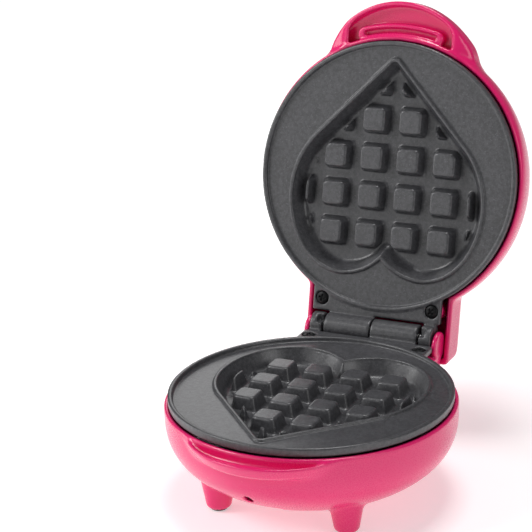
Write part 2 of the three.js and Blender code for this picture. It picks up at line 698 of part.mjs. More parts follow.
const upperPlate = mesh('upper_plate', nonStick, casting);
upperPlate.rotation.y = Math.PI;
upperPlate.position.z = plateGap / 2;
lid.add(upperPlate);
lid.add(mesh('upper_housing', pinkPlastic, upperHousing()));
for (const [name, material, shape] of [['upper_heating_element', heaterSheath, heaterShape],
  ['upper_reflector', aluminised, reflectorShape], ['upper_thermal_fuse', brightSteel, fuseShape]]) {
  const piece = mesh(name, material, shape);
  piece.rotation.y = Math.PI;
  lid.add(piece);
}
for (const [name, material, shape] of [['indicator_lens', amber, lens()],
  ['lamp_holder', whiteCeramic, lampHolder()], ['indicator_lamp', clearGlass, lamp()]]) {
  const piece = mesh(name, material, shape);
  piece.rotation.x = -rad(lensTilt);
  piece.position.set(0, lensBack, lensLevel() + 0.1);
  lid.add(piece);
}
for (const [hand, side] of [['left', -1], ['right', 1]]) {
  const lower = mesh(`lower_plate_screw_${hand}`, blackSteel, plateScrew);
  lower.position.set(side * plateScrewX, plateScrewY, -plateGap / 2 - 0.1);
  base.add(lower);
  const upper = mesh(`upper_plate_screw_${hand}`, blackSteel, plateScrew);
  upper.rotation.y = Math.PI;
  upper.position.set(side * plateScrewX, plateScrewY, plateGap / 2 + 0.1);
  lid.add(upper);
}

// The lid turns about the hinge axis.
const swing = new THREE.Group();
swing.position.set(0, hingeY, 0);
swing.rotation.x = -rad(openAngle);
lid.position.set(0, -hingeY, 0);
swing.add(lid);

const appliance = new THREE.Group();
appliance.add(base, swing);
appliance.updateMatrixWorld(true);
const extent = new THREE.Box3().setFromObject(appliance, true);
appliance.position.set(-(extent.min.x + extent.max.x) / 2, -(extent.min.y + extent.max.y) / 2,
  -extent.min.z);

export default appliance;
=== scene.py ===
import json
import math

import bpy
import numpy as np
from bpy.props import FloatProperty, FloatVectorProperty, IntProperty, PointerProperty
from mathutils import Matrix, Vector


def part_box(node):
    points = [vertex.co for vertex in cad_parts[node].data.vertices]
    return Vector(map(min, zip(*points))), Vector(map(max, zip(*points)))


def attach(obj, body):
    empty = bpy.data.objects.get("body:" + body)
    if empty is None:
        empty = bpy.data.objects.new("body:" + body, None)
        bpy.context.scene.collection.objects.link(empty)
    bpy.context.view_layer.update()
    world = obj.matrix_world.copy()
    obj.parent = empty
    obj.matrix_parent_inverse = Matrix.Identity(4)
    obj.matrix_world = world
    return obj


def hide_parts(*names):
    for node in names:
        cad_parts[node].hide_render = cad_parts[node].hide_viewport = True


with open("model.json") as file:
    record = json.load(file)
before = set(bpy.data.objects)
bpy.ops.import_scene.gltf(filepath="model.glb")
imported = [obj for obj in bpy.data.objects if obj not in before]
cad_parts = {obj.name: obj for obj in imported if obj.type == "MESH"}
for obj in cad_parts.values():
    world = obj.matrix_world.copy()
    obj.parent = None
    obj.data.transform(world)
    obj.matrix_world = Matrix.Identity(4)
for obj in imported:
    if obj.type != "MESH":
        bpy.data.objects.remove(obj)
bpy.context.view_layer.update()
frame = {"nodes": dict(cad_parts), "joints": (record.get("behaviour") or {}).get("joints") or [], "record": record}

bl_info = {
    "name": "Heart Waffle Maker",
    "version": (1, 0, 0),
    "blender": (4, 5, 0),
    "location": "View3D > Sidebar > Waffle Maker",
    "description": "Builds the finished pieces of a small waffle maker round its packed frame",
    "category": "Add Mesh",
}

# Pieces are drawn in millimetres with the lid closed: X right, Y back, Z up, the cooking plates
# centred on X = Y = 0 and the parting plane between them, with the hinge axis, at Z = 0.
MM = 0.001
hinge = next(j for j in frame["joints"] if j["name"] == "lid_hinge")
plate_low, plate_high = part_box("lower_plate")
PLATE_RADIUS = (plate_high.x - plate_low.x) / 2 / MM
CENTRE_Y = plate_low.y / MM + PLATE_RADIUS
PARTING_Z = hinge["pos_m"][2] / MM
HINGE_Y = hinge["pos_m"][1] / MM - CENTRE_Y
OPEN_ANGLE = math.radians(hinge["range_deg"][1])
PLATE_GAP = 0.56                # between the rims of the closed plates
PLATE_THICKNESS = 3.6
BODY_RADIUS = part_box("lower_housing")[1].x / MM
LID_RADIUS = BODY_RADIUS + 0.6
RIM_LEVEL = PLATE_GAP / 2 + PLATE_THICKNESS + 0.6
WIDEST_BELOW = 2.5              # rim to the widest circle of the bowl
WIDEST_ABOVE = 4.0              # rim to the widest circle of the lid
FLAT_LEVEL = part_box("base_cover")[0].z / MM - PARTING_Z
GROUND = -PARTING_Z
COVER_THICKNESS = 2.0           # base cover
TAIL_HEIGHT = 19.0              # sides of the lid's hinge cover, above the parting plane
TAIL_BACK = HINGE_Y + 12.0      # back of the hinge cover
TAIL_LEAN = 3.1                 # the cover's back leans in by this over its height
RAMP_TOP = 33.6                 # where the cover's top meets the lid's shoulder
RAMP_SLOPE = 0.6                # the cover's top falls towards its back
HIP_SLOPE = 1.2                 # and towards its sides
LENS_BACK = 24.0                # indicator lens behind the plates' centre
LENS_TILT = math.radians(6.5)
LENS_RADIUS = 6.0
COLLAR_RADIUS = 8.6             # collar moulded round the lens
CLEFT = 0.666                   # cleft of the heart, with the tip at 1 on the other side
FIT = 0.3                       # gap between pieces that fit into one another
NODES = frame["nodes"]


def middle(name):
    """Centre of a node in plan, drawn."""
    low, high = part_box(name)
    return (low.x + high.x) / 2 / MM, (low.y + high.y) / 2 / MM - CENTRE_Y


SCREW_X, SCREW_Y = middle("lower_plate_screw_right")
COVER_SCREW_NODES = [f"base_cover_screw_{i}" for i in (1, 2, 3)]
COVER_SCREWS = [middle(name) for name in COVER_SCREW_NODES]
BARREL = plate_high.z / MM - PARTING_Z
BARREL_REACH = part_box("hinge_pin")[1].x / MM + FIT
TAB_HALF = BARREL_REACH + 1.7
EAR_INNER, EAR_OUTER = BARREL_REACH + 0.6, BARREL_REACH + 2.9
SWING = 0.7                     # clearance round the barrels
BORE = 1.8                      # holes for the plate screws
BOSS = 4.2                      # bosses of the plate screws
COVER_BORE = 1.6                # holes for the cover's screws
COVER_BOSS = 3.6                # posts of the cover's screws
gland_low, gland_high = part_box("cord_gland")
GLAND_Z = (gland_low.z + gland_high.z) / 2 / MM - PARTING_Z
GLAND_RADIUS = (gland_high.x - gland_low.x) / 2 / MM
GLAND_FLANGE = 1.8              # the gland's flange stands out by this


def seat(points):
    """Takes drawn points to the frame, in metres."""
    return (np.asarray(points, float) + (0, CENTRE_Y, PARTING_Z)) * MM


def seat_open(points):
    """The same for the lid's pieces, which are drawn closed and rest open."""
    points = np.array(points, float)
    y, z = points[:, 1] - HINGE_Y, points[:, 2].copy()
    cos, sin = math.cos(OPEN_ANGLE), math.sin(OPEN_ANGLE)
    points[:, 1] = HINGE_Y + y * cos + z * sin
    points[:, 2] = -y * sin + z * cos
    return seat(points)


# ---- Distance fields: negative inside, in millimetres, for arrays or grids of x, y and z ----
def soft_min(a, b, blend):
    """Joins two shapes with a fillet."""
    h = np.clip(0.5 + 0.5 * (b - a) / blend, 0, 1)
    return b + (a - b) * h - blend * h * (1 - h)


def soft_max(a, b, blend):
    """Keeps what two shapes share, with a rounded edge between them."""
    return -soft_min(-a, -b, blend)


def cut(a, b, blend=0.5):
    """Takes shape b out of shape a."""
    return soft_max(a, -b, blend)


def span(value, low, high):
    return np.abs(value - (low + high) / 2) - (high - low) / 2


def disc(x, y, z, radius, low, high, edge=0.6):
    """An upright round bar; radius may follow z."""
    return soft_max(np.hypot(x, y) - radius, span(z, low, high), edge)


def box(x, y, z, low, high, edge=0.6):
    sides = soft_max(span(x, low[0], high[0]), span(y, low[1], high[1]), edge)
    return soft_max(sides, span(z, low[2], high[2]), edge)


def front_arc(x, y, radius, half_angle, half_width):
    """Plan of a band with round ends that runs round the front of the plates."""
    angle = np.abs(np.arctan2(x, -y))
    end_x, end_y = radius * math.sin(half_angle), -radius * math.cos(half_angle)
    ends = np.hypot(np.abs(x) - end_x, y - end_y)
    return np.where(angle < half_angle, np.abs(np.hypot(x, y) - radius), ends) - half_width


def surface(field, low, high, cell):
    """Quads over a field's zero level: one corner per grid cell that it crosses, set onto it."""
    margin = 2.37               # in cells: keeps flat faces at the bounds off the grid's planes
    grid = [np.arange(a - margin * cell, b + (margin + 1) * cell, cell, dtype=np.float32)
            for a, b in zip(low, high)]
    value = field(*np.ix_(*grid))
    shape = value.shape
    corners, points = [], []
    for axis in range(3):
        first = tuple(slice(0, -1) if i == axis else slice(None) for i in range(3))
        second = tuple(slice(1, None) if i == axis else slice(None) for i in range(3))
        a, b = value[first], value[second]
        where = np.argwhere((a < 0) != (b < 0))
        near, far = a[tuple(where.T)], b[tuple(where.T)]
        crossing = where.astype(float)
        crossing[:, axis] += near / (near - far)
        side, up = (axis + 1) % 3, (axis + 2) % 3
        quad = []
        for du, dv in ((0, 0), (-1, 0), (-1, -1), (0, -1)):
            cell_index = where.copy()
            cell_index[:, side] += du
            cell_index[:, up] += dv
            quad.append(np.ravel_multi_index(cell_index.T, shape))
        quad = np.stack(quad, 1)
        quad[near > 0] = quad[near > 0][:, ::-1]
        corners.append(quad)
        points.append(np.repeat(crossing, 4, axis=0))
    corners, points = np.concatenate(corners), np.concatenate(points)
    _, index = np.unique(corners, return_inverse=True)
    index = index.reshape(-1)
    count = np.bincount(index)
    mean = np.stack([np.bincount(index, points[:, i]) / count for i in range(3)], 1)
    verts = mean * cell + [g[0] for g in grid]
    step = 0.05
    for _ in range(3):
        here = field(*verts.T)
        slope = np.stack([(field(*(verts + step * unit).T) - field(*(verts - step * unit).T))
                          / (2 * step) for unit in np.eye(3)], 1)
        size = np.maximum((slope ** 2).sum(1), 0.25)
        move = slope * (here / size)[:, None]
        verts = verts - np.clip(move, -cell / 2, cell / 2)
    return verts, index.reshape(-1, 4)


# ---- Pieces ----
def add_mesh(name, verts, faces, material):
    mesh = bpy.data.meshes.new(name)
    mesh.from_pydata(np.asarray(verts).tolist(), [], np.asarray(faces).tolist())
    mesh.polygons.foreach_set("use_smooth", [True] * len(mesh.polygons))
    mesh.materials.append(material)
    mesh.update()
    old = bpy.data.objects.get(name)
    if old is not None:
        bpy.data.objects.remove(old)
    piece = bpy.data.objects.new(name, mesh)
    bpy.context.scene.collection.objects.link(piece)
    return piece


def declare(piece, body, slot, *nodes):
    """Says which body a finished piece moves with and hides the nodes that it stands for; the finish that it is
    given is not used.
    """
    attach(piece, body)
    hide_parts(*nodes)


def mould(name, field, low, high, cell, body, slot, node):
    """Makes a piece from a field and seats it with its body."""
    verts, faces = surface(field, low, high, cell)
    place = seat_open if body == "lid" else seat
    piece = add_mesh(name, place(verts), faces, material(slot))
    declare(piece, body, slot, node)


# ---- Shader expressions ----
class Value:
    """A number socket in a shader, on which arithmetic adds Math nodes."""

    def __init__(self, graph, socket):
        self.graph, self.socket = graph, socket

    def _math(self, operation, *inputs):
        values = [i.socket if isinstance(i, Value) else i for i in inputs]
        node = self.graph.node("ShaderNodeMath", {"operation": operation},
                               dict(enumerate(values)))
        return Value(self.graph, node.outputs[0])

    def __add__(self, other):
        return self._math("ADD", self, other)

    def __radd__(self, other):
        return self._math("ADD", other, self)

    def __mul__(self, other):
        return self._math("MULTIPLY", self, other)

    def __rmul__(self, other):
        return self._math("MULTIPLY", other, self)

    def sine(self):
        return self._math("SINE", self)


def feed(tree, socket, value):
    """Links a socket to a value, or sets its number or colour."""
    if isinstance(value, Value):
        value = value.socket
    if isinstance(value, bpy.types.NodeSocket):
        tree.links.new(value, socket)
    else:
        socket.default_value = value


def add_node(tree, kind, settings=None, inputs=None):
    """A node of any type, with its settings and the values or links of its sockets."""
    node = tree.nodes.new(kind)
    for key, value in (settings or {}).items():
        setattr(node, key, value)
    for key, value in (inputs or {}).items():
        feed(tree, node.inputs[key], value)
    return node


class Shader:
    """The node graph of one material, with its Principled surface."""

    def __init__(self, name):
        old = bpy.data.materials.get(name)
        if old is not None:
            bpy.data.materials.remove(old)
        self.material = bpy.data.materials.new(name)
        self.material.use_nodes = True
        self.tree = self.material.node_tree
        self.tree.nodes.clear()
        self.surface = self.node("ShaderNodeBsdfPrincipled")
        self.node("ShaderNodeOutputMaterial", {}, {"Surface": self.surface.outputs[0]})
        self.place = self.node("ShaderNodeTexCoord").outputs["Object"]

    def node(self, *details):
        return add_node(self.tree, *details)

    def across(self):
        """The place along X."""
        node = self.node("ShaderNodeSeparateXYZ", {}, {0: self.place})
        return Value(self, node.outputs[0])

    def noise(self, size, detail=2.0, roughness=0.5):
        """Noise with features of a given size in metres, from 0 to 1."""
        node = self.node("ShaderNodeTexNoise", {"noise_dimensions": "3D"},
                         {"Vector": self.place, "Scale": 1 / size, "Detail": detail,
                          "Roughness": roughness})
        return Value(self, node.outputs["Fac"])

    def cells(self, size):
        """Distance to the middle of cells of a given size in metres."""
        node = self.node("ShaderNodeTexVoronoi", {"feature": "F1"},
                         {"Vector": self.place, "Scale": 1 / size})
        return Value(self, node.outputs["Distance"])

    def step(self, value, low, high):
        """Rises smoothly from 0 at low to 1 at high."""
        node = self.node("ShaderNodeMapRange", {"interpolation_type": "SMOOTHSTEP"},
                         {"Value": value, "From Min": low, "From Max": high})
        return Value(self, node.outputs["Result"])

    def blend(self, amount, first, second):
        node = self.node("ShaderNodeMix", {"data_type": "RGBA"},
                         {"Factor": amount, "A": first, "B": second})
        return node.outputs[2]

    def bump(self, height, depth, strength=1.0, under=None):
        inputs = {"Height": height, "Distance": depth, "Strength": strength}
        if under is not None:
            inputs["Normal"] = under
        return self.node("ShaderNodeBump", {}, inputs).outputs[0]

    def finish(self, **inputs):
        """Sets the Principled sockets; an underscore in a name stands for a space."""
        for key, value in inputs.items():
            feed(self.tree, self.surface.inputs[key.replace("_", " ")], value)
        return self.material


def shade(colour, factor):
    """A colour made darker or lighter, with its alpha kept."""
    return (*(min(1.0, c * factor) for c in colour[:3]), 1.0)


def toward(colour, other, amount):
    return (*(a + (b - a) * amount for a, b in zip(colour[:3], other[:3])), 1.0)


# ---- Finishes ----
def pink_plastic(s, colours):
    """Glossy injection-moulded plastic: faint orange peel, flow shading and fine dust."""
    base = (*colours.plastic, 1.0)
    flow = s.step(s.noise(0.06, 2.0), 0.3, 0.75)
    dust = s.step(s.noise(0.0006, 2.0), 0.70, 0.80)
    tone = s.blend(flow, base, toward(base, (1.0, 0.12, 0.30), 0.03))
    tone = s.blend(dust * 0.08, tone, toward(base, (1, 1, 1), 0.4))
    peel = s.noise(0.0022, 1.0, 0.4)
    fine = s.noise(0.00035, 2.0)
    rough = 0.24 + flow * 0.02 + fine * 0.04 + dust * 0.12
    normal = s.bump(peel, 0.00002, 0.5, s.bump(fine, 0.000004, 0.4))
    return s.finish(Base_Color=tone, Roughness=rough, Normal=normal, IOR=1.5,
                    Coat_Weight=0.35, Coat_Roughness=0.12)


def nonstick_casting(s, colours):
    """Sprayed dark non-stick coat on cast aluminium, with fine sparkle."""
    base = (*colours.coating, 1.0)
    grain = s.noise(0.0011, 3.0, 0.75)
    cloud = s.noise(0.012, 3.0)
    fleck = s.step(s.noise(0.0007, 2.0, 0.6), 0.60, 0.70)
    sprayed = s.step(s.noise(0.0016, 2.0, 0.7) + cloud * 0.2, 0.42, 0.78)
    tone = s.blend(sprayed, shade(base, 0.72), shade(base, 1.22))
    tone = s.blend(fleck * 0.6, tone, shade(base, 2.4))
    rough = 0.28 + cloud * 0.04 + grain * 0.12
    normal = s.bump(grain, 0.00012, 0.8, s.bump(cloud, 0.00004, 0.3))
    return s.finish(Base_Color=tone, Roughness=rough, Normal=normal, IOR=1.55,
                    Coat_Weight=0.25, Coat_Roughness=0.22)


def black_screw(s, colours):
    wear = s.step(s.noise(0.0009, 3.0), 0.62, 0.72)
    tone = s.blend(wear * 0.3, (0.008, 0.008, 0.009, 1), (0.09, 0.09, 0.09, 1))
    rough = 0.38 + s.noise(0.0004, 2.0) * 0.15
    return s.finish(Base_Color=tone, Roughness=rough, Metallic=0.6,
                    Normal=s.bump(s.noise(0.0003), 0.00001, 0.5))


def bright_steel(s, colours):
    """Ground steel with fine lines round the X axis and a few stains."""
    lines = (s.across() * 9000 + s.noise(0.002) * 4).sine() * 0.5 + 0.5
    stain = s.step(s.noise(0.004, 3.0), 0.55, 0.75)
    tone = s.blend(stain, (0.62, 0.62, 0.63, 1), (0.48, 0.46, 0.43, 1))
    return s.finish(Base_Color=tone, Roughness=0.24 + lines * 0.08 + stain * 0.12, Metallic=1.0,
                    Normal=s.bump(lines, 0.000004, 0.5))


def heater_sheath(s, colours):
    """Heat-tinted nickel steel of the tubular heaters."""
    heat = s.step(s.noise(0.009, 3.0), 0.35, 0.65)
    tone = s.blend(heat, (0.17, 0.17, 0.175, 1), (0.16, 0.115, 0.075, 1))
    return s.finish(Base_Color=tone, Roughness=0.36 + s.noise(0.0008) * 0.2, Metallic=0.9,
                    Normal=s.bump(s.noise(0.0005, 3.0), 0.00002, 0.5))


def aluminised_sheet(s, colours):
    """Hot-dipped sheet with its faint spangle."""
    spangle = s.cells(0.006)
    tone = s.blend(s.step(spangle, 0.1, 0.8), (0.66, 0.67, 0.68, 1), (0.52, 0.53, 0.55, 1))
    return s.finish(Base_Color=tone, Roughness=0.28 + spangle * 0.2, Metallic=1.0,
                    Normal=s.bump(s.noise(0.0007, 3.0), 0.00001, 0.5))


def amber_lens(s, colours):
    """Tinted lens with a moulded diffusing grid on its underside that shows through."""
    base = (*colours.lens, 1.0)
    cell = s.cells(0.0011)
    tone = s.blend(s.step(cell, 0.2, 0.7), shade(base, 1.25), shade(base, 0.65))
    return s.finish(Base_Color=tone, Roughness=0.10 + s.noise(0.0006) * 0.08, IOR=1.49,
                    Normal=s.bump(s.noise(0.002, 1.0), 0.00002, 0.3), Coat_Weight=0.5,
                    Coat_Roughness=0.04, Transmission_Weight=0.35)


def lamp_glass(s, colours):
    glow = s.step(s.noise(0.002, 2.0), 0.3, 0.7)
    tone = s.blend(glow, (0.80, 0.52, 0.33, 1), (0.9, 0.72, 0.52, 1))
    return s.finish(Base_Color=tone, Roughness=0.06 + s.noise(0.0005) * 0.05, IOR=1.47,
                    Transmission_Weight=0.7)


def black_rubber(s, colours):
    """Matt moulded rubber with a fine grain and a light bloom."""
    bloom = s.step(s.noise(0.004, 3.0), 0.45, 0.75)
    tone = s.blend(bloom, (0.012, 0.012, 0.013, 1), (0.035, 0.034, 0.034, 1))
    return s.finish(Base_Color=tone, Roughness=0.72 + s.noise(0.0006) * 0.15,
                    Normal=s.bump(s.noise(0.0004, 3.0), 0.00003, 0.6))


def ceramic(s, colours):
    speck = s.step(s.noise(0.0005, 2.0), 0.64, 0.7)
    tone = s.blend(speck * 0.5, (0.74, 0.71, 0.64, 1), (0.45, 0.40, 0.33, 1))
    return s.finish(Base_Color=tone, Roughness=0.5 + s.noise(0.0008) * 0.2,
                    Normal=s.bump(s.noise(0.0006, 3.0), 0.00003, 0.5))


def studio_floor(s, colours):
    grain = s.noise(0.05, 2.0)
    tone = s.blend(grain, (0.79, 0.79, 0.79, 1), (0.81, 0.81, 0.81, 1))
    return s.finish(Base_Color=tone, Roughness=0.7 + grain * 0.1, Specular_IOR_Level=0.2,
                    Emission_Color=(1, 1, 1, 1), Emission_Strength=0.45)


FINISHES = {finish.__name__: finish for finish in (
    pink_plastic, nonstick_casting, black_screw, bright_steel, heater_sheath, aluminised_sheet,
    amber_lens, lamp_glass, black_rubber, ceramic, studio_floor)}
made = {}


def material(slot):
    """The finish of one slot, made the first time that it is asked for."""
    if slot not in made:
        made[slot] = FINISHES[slot](Shader(slot), bpy.context.scene.waffle_colours)
    return made[slot]


# ---- What a user may change ----
def length(name, description, default):
    return FloatProperty(name=name, description=description, default=default, min=0.0,
                         subtype="DISTANCE", unit="LENGTH", precision=5)


def colour(name, description, default):
    return FloatVectorProperty(name=name, description=description, default=default, size=3,
                               min=0.0, max=1.0, subtype="COLOR")


def angle(name, description, default):
    return FloatProperty(name=name, description=description, default=default, subtype="ANGLE",
                         unit="ROTATION")


class WaffleHousing(bpy.types.PropertyGroup):
    wall: length("Wall", "Thickness of the moulded plastic", 0.0022)
    bowl_inward: length("Bowl Inward", "Widest radius of the bowl to its flat bottom", 0.0195)
    crown: length("Crown", "Top of the lid above the parting plane", 0.0466)
    shoulder: length("Shoulder", "Level where the lid's side meets its crown", 0.033)
    dome_inward: length("Dome Inward", "Widest radius of the lid to its shoulder", 0.0098)
    grip_radius: length("Grip Radius", "Front edge of the lid's grip in plan", 0.038)
    grip_reach: length("Grip Reach", "How far the lid's grip stands out past the plate", 0.0178)
    lip_radius: length("Lip Radius", "Front edge of the lower grip in plan", 0.040)
    lip_reach: length("Lip Reach", "How far the lower grip stands out past the plate", 0.010)
    tail_width: length("Tail Half Width", "Half the width of the lid's hinge cover", 0.035)
    foot_top: length("Foot Top Radius", "Radius of a leg where it joins the bowl", 0.0073)
    foot_end: length("Foot End Radius", "Radius of a leg where it meets its pad", 0.0052)


class WafflePlate(bpy.types.PropertyGroup):
    heart_margin: length("Heart Margin", "Plate's edge to the tip of the heart", 0.0084)
    heart_depth: length("Heart Depth", "Cavity floor below the rim", 0.0088)
    draft: length("Draft", "How far the cavity's wall leans in at its floor", 0.0032)
    grid: length("Block Spacing", "Spacing of the waffle blocks", 0.0175)
    block_top: length("Block Top", "Side of a block at its top", 0.0102)
    block_base: length("Block Base", "Side of a block at its foot", 0.013)
    block_height: length("Block Height", "Height of a block above the cavity floor", 0.0062)
    bead_width: length("Bead Width", "Raised bead round the heart", 0.0018)
    barrel_radius: length("Barrel Radius", "Outside of the hinge barrels", 0.0057)
    rim_width: length("Rim Width", "Raised rim round the plate", 0.002)


class WaffleFixings(bpy.types.PropertyGroup):
    head_radius: length("Screw Head Radius", "Heads of the plate screws", 0.0029)
    cover_head_radius: length("Cover Screw Head Radius", "Heads of the base screws", 0.0027)
    pad_radius: length("Pad Radius", "Rubber pads under the feet", 0.0038)
    turn_seed: IntProperty(name="Turn Seed", description="Sets how the screw slots are turned",
                           default=4, min=0)


class WaffleColours(bpy.types.PropertyGroup):
    plastic: colour("Plastic", "Moulded housings", (0.78, 0.007, 0.145))
    coating: colour("Coating", "Non-stick coat of the plates", (0.056, 0.056, 0.061))
    lens: colour("Lens", "Lens of the indicator lamp", (0.42, 0.12, 0.045))


class WaffleStudio(bpy.types.PropertyGroup):
    azimuth: angle("Azimuth", "Camera's turn round the appliance", math.radians(25.62))
    elevation: angle("Elevation", "Camera's height over the horizon", math.radians(19.54))
    roll: angle("Roll", "Camera's tilt about its own axis", 0.0323)
    distance: length("Distance", "Camera to the middle of the picture", 0.8302)
    lens: FloatProperty(name="Lens", description="Focal length", default=133.8,
                        subtype="DISTANCE_CAMERA", unit="CAMERA")
    floor: length("Floor Size", "Side of the pale floor", 8.0)
    key_power: FloatProperty(name="Key Light", description="Power of the main softbox",
                             default=9.0, unit="POWER")
    world: FloatProperty(name="Surroundings", description="Brightness of the white studio",
                         default=0.14)


# ---- Lower body ----
def bowl_field(x, y, z, sizes, inset=0.0):
    widest = -RIM_LEVEL - WIDEST_BELOW
    depth = widest - FLAT_LEVEL
    t = np.clip((widest - z) / depth, 0, 1.3)
    inward = sizes.bowl_inward / MM
    lean = np.sqrt(1 + (3 * inward * t ** 2 / depth) ** 2)
    return (np.hypot(x, y) - (BODY_RADIUS - inward * t ** 3)) / lean + inset


def lower_housing_field(sizes):
    wall = sizes.wall / MM
    lip_radius = sizes.lip_radius / MM
    lip_y = -(PLATE_RADIUS + sizes.lip_reach / MM - lip_radius)
    lip_top, lip_bottom = -6.0, -12.5
    rear_top = -BARREL - SWING - 0.2
    inlet_bore = GLAND_RADIUS - GLAND_FLANGE + FIT
    inlet_radius, inlet_face = inlet_bore + 2.4, BODY_RADIUS + 0.6
    rear_bottom = GLAND_Z + inlet_radius
    rear_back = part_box("lower_housing")[1].y / MM - CENTRE_Y
    ear_radius, ear_y, ear_z = 6.3, HINGE_Y + 0.5, -3.0
    rear_block_back = HINGE_Y + 1.25
    cover_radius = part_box("base_cover")[1].x / MM
    seat_level = FLAT_LEVEL + COVER_THICKNESS + FIT
    floor = seat_level + wall
    top_radius, end_radius = sizes.foot_top / MM, sizes.foot_end / MM
    legs = [middle("foot_pad_front_right"), middle("foot_pad_rear_right")]
    leg_tops = (FLAT_LEVEL + 12, rear_bottom + 2)
    foot_level, pad_well, pad_height = GROUND + 0.5, 4.1, 1.2 + FIT
    cover_ledge = 3.5
    scallop_half, scallop_top = 6.5, FLAT_LEVEL + 3.2
    port_x, port_z, port_radius = -4.0, FLAT_LEVEL + 9.0, 2.0

    def field(x, y, z):
        ax = np.abs(x)
        shape = soft_max(bowl_field(x, y, z, sizes), z + RIM_LEVEL, 1.1)
        shape = soft_max(shape, FLAT_LEVEL - z, 2.2)
        taper = 3.0 * np.clip((lip_top - z) / (lip_top - lip_bottom), 0, 1)
        lip = np.hypot(x, y - lip_y) - (lip_radius - taper)
        lip = soft_max(soft_max(lip, z - lip_top, 1.6), lip_bottom - z, 3.0)
        shape = soft_min(shape, lip, 1.8)
        rear = box(ax, y, z, (-EAR_OUTER, 30, rear_bottom), (EAR_OUTER, rear_block_back, rear_top),
                   1.2)
        shape = soft_min(shape, rear, 1.5)
        ear = soft_max(np.hypot(y - ear_y, z - ear_z) - ear_radius,
                       span(ax, EAR_INNER, EAR_OUTER), 0.9)
        shape = soft_min(shape, ear, 0.9)
        shape = soft_min(shape, disc(ax - SCREW_X, y - SCREW_Y, z, BOSS, rear_top - 1,
                                     -RIM_LEVEL), 0.8)
        for (leg_x, leg_y), top in zip(legs, leg_tops):
            rise = np.clip((z - foot_level) / (FLAT_LEVEL + 2 - GROUND), 0, 1)
            radius = end_radius + (top_radius - end_radius) * rise
            leg = soft_max(np.hypot(ax - leg_x, y - leg_y) - radius, z - top, 2.0)
            leg = soft_max(leg, foot_level - z, 2.2)
            shape = soft_min(shape, leg, 2.0)
        inlet = soft_max(np.hypot(x, z - GLAND_Z) - inlet_radius, span(y, 0, inlet_face), 0.8)
        shape = soft_min(shape, inlet, 2.5)

        hollow = soft_max(bowl_field(x, y, z, sizes, wall), floor - z, 1.0)
        shape = cut(shape, hollow, 0.9)
        shape = cut(shape, disc(x, y, z, cover_radius - cover_ledge, FLAT_LEVEL - 3,
                                floor + 2))
        shape = cut(shape, disc(x, y, z, cover_radius + FIT, FLAT_LEVEL - 3, seat_level, 0.3))
        under = box(ax, y, z, (wall - EAR_OUTER, 20, rear_bottom - 4),
                    (EAR_OUTER - wall, rear_block_back - wall, rear_top - wall), 1.0)
        core = soft_max(bowl_field(x, y, z, sizes, wall / 2), FLAT_LEVEL - z, 1.0)
        shape = cut(shape, cut(under, core, 0.6), 0.6)
        thumb = soft_max(np.hypot(x, y - lip_y) - (lip_radius - 1.8 - 0.35 * taper),
                         lip_bottom + 3.6 - z, 3.0)
        keep = PLATE_RADIUS + FIT + 1.2 - np.hypot(x, y)
        shape = cut(shape, soft_max(thumb, keep, 1.5), 1.1)
        scallop = soft_max(np.abs(x) - scallop_half, z - scallop_top, 1.0)
        scallop = soft_max(scallop, y + 30, 0.5)
        shape = cut(shape, scallop, 0.8)
        port = soft_max(np.hypot(x - port_x, z - port_z) - port_radius, span(y, -70, -44), 0.4)
        shape = cut(shape, port, 0.7)
        shape = cut(shape, soft_max(np.hypot(x, z - GLAND_Z) - inlet_bore,
                                    span(y, 40, 90), 0.4), 0.5)

        for leg_x, leg_y in legs:
            shape = cut(shape, disc(ax - leg_x, y - leg_y, z, pad_well, GROUND - 4,
                                    GROUND + pad_height, 0.3), 0.4)
        boss = disc(ax - SCREW_X, y - SCREW_Y, z, BOSS, rear_bottom, -RIM_LEVEL, 0.5)
        shape = soft_min(shape, boss, 0.6)
        shape = cut(shape, disc(ax - SCREW_X, y - SCREW_Y, z, BORE, -RIM_LEVEL - 12, 2, 0.3))
        for px, py in COVER_SCREWS:
            post = disc(x - px, y - py, z, COVER_BOSS, seat_level, FLAT_LEVEL + 10, 0.5)
            shape = soft_min(shape, post, 0.6)
            shape = cut(shape, disc(x - px, y - py, z, COVER_BORE, FLAT_LEVEL - 1,
                                    FLAT_LEVEL + 9, 0.3), 0.3)
        return shape

    low = (-BODY_RADIUS, lip_y - lip_radius, foot_level)
    return field, low, (BODY_RADIUS, rear_back, ear_z + ear_radius)


class OBJECT_OT_waffle_lower_housing(bpy.types.Operator):
    """Moulds the lower body: bowl, grip lip, rear hinge block with its ears, and legs"""
    bl_idname = "object.waffle_lower_housing"
    bl_label = "Lower Housing"
    bl_options = {"REGISTER", "UNDO"}

    def execute(self, context):
        mould("lower_body_moulding", *lower_housing_field(context.scene.waffle_housing), 0.78,
              "base", "pink_plastic", "lower_housing")
        return {"FINISHED"}


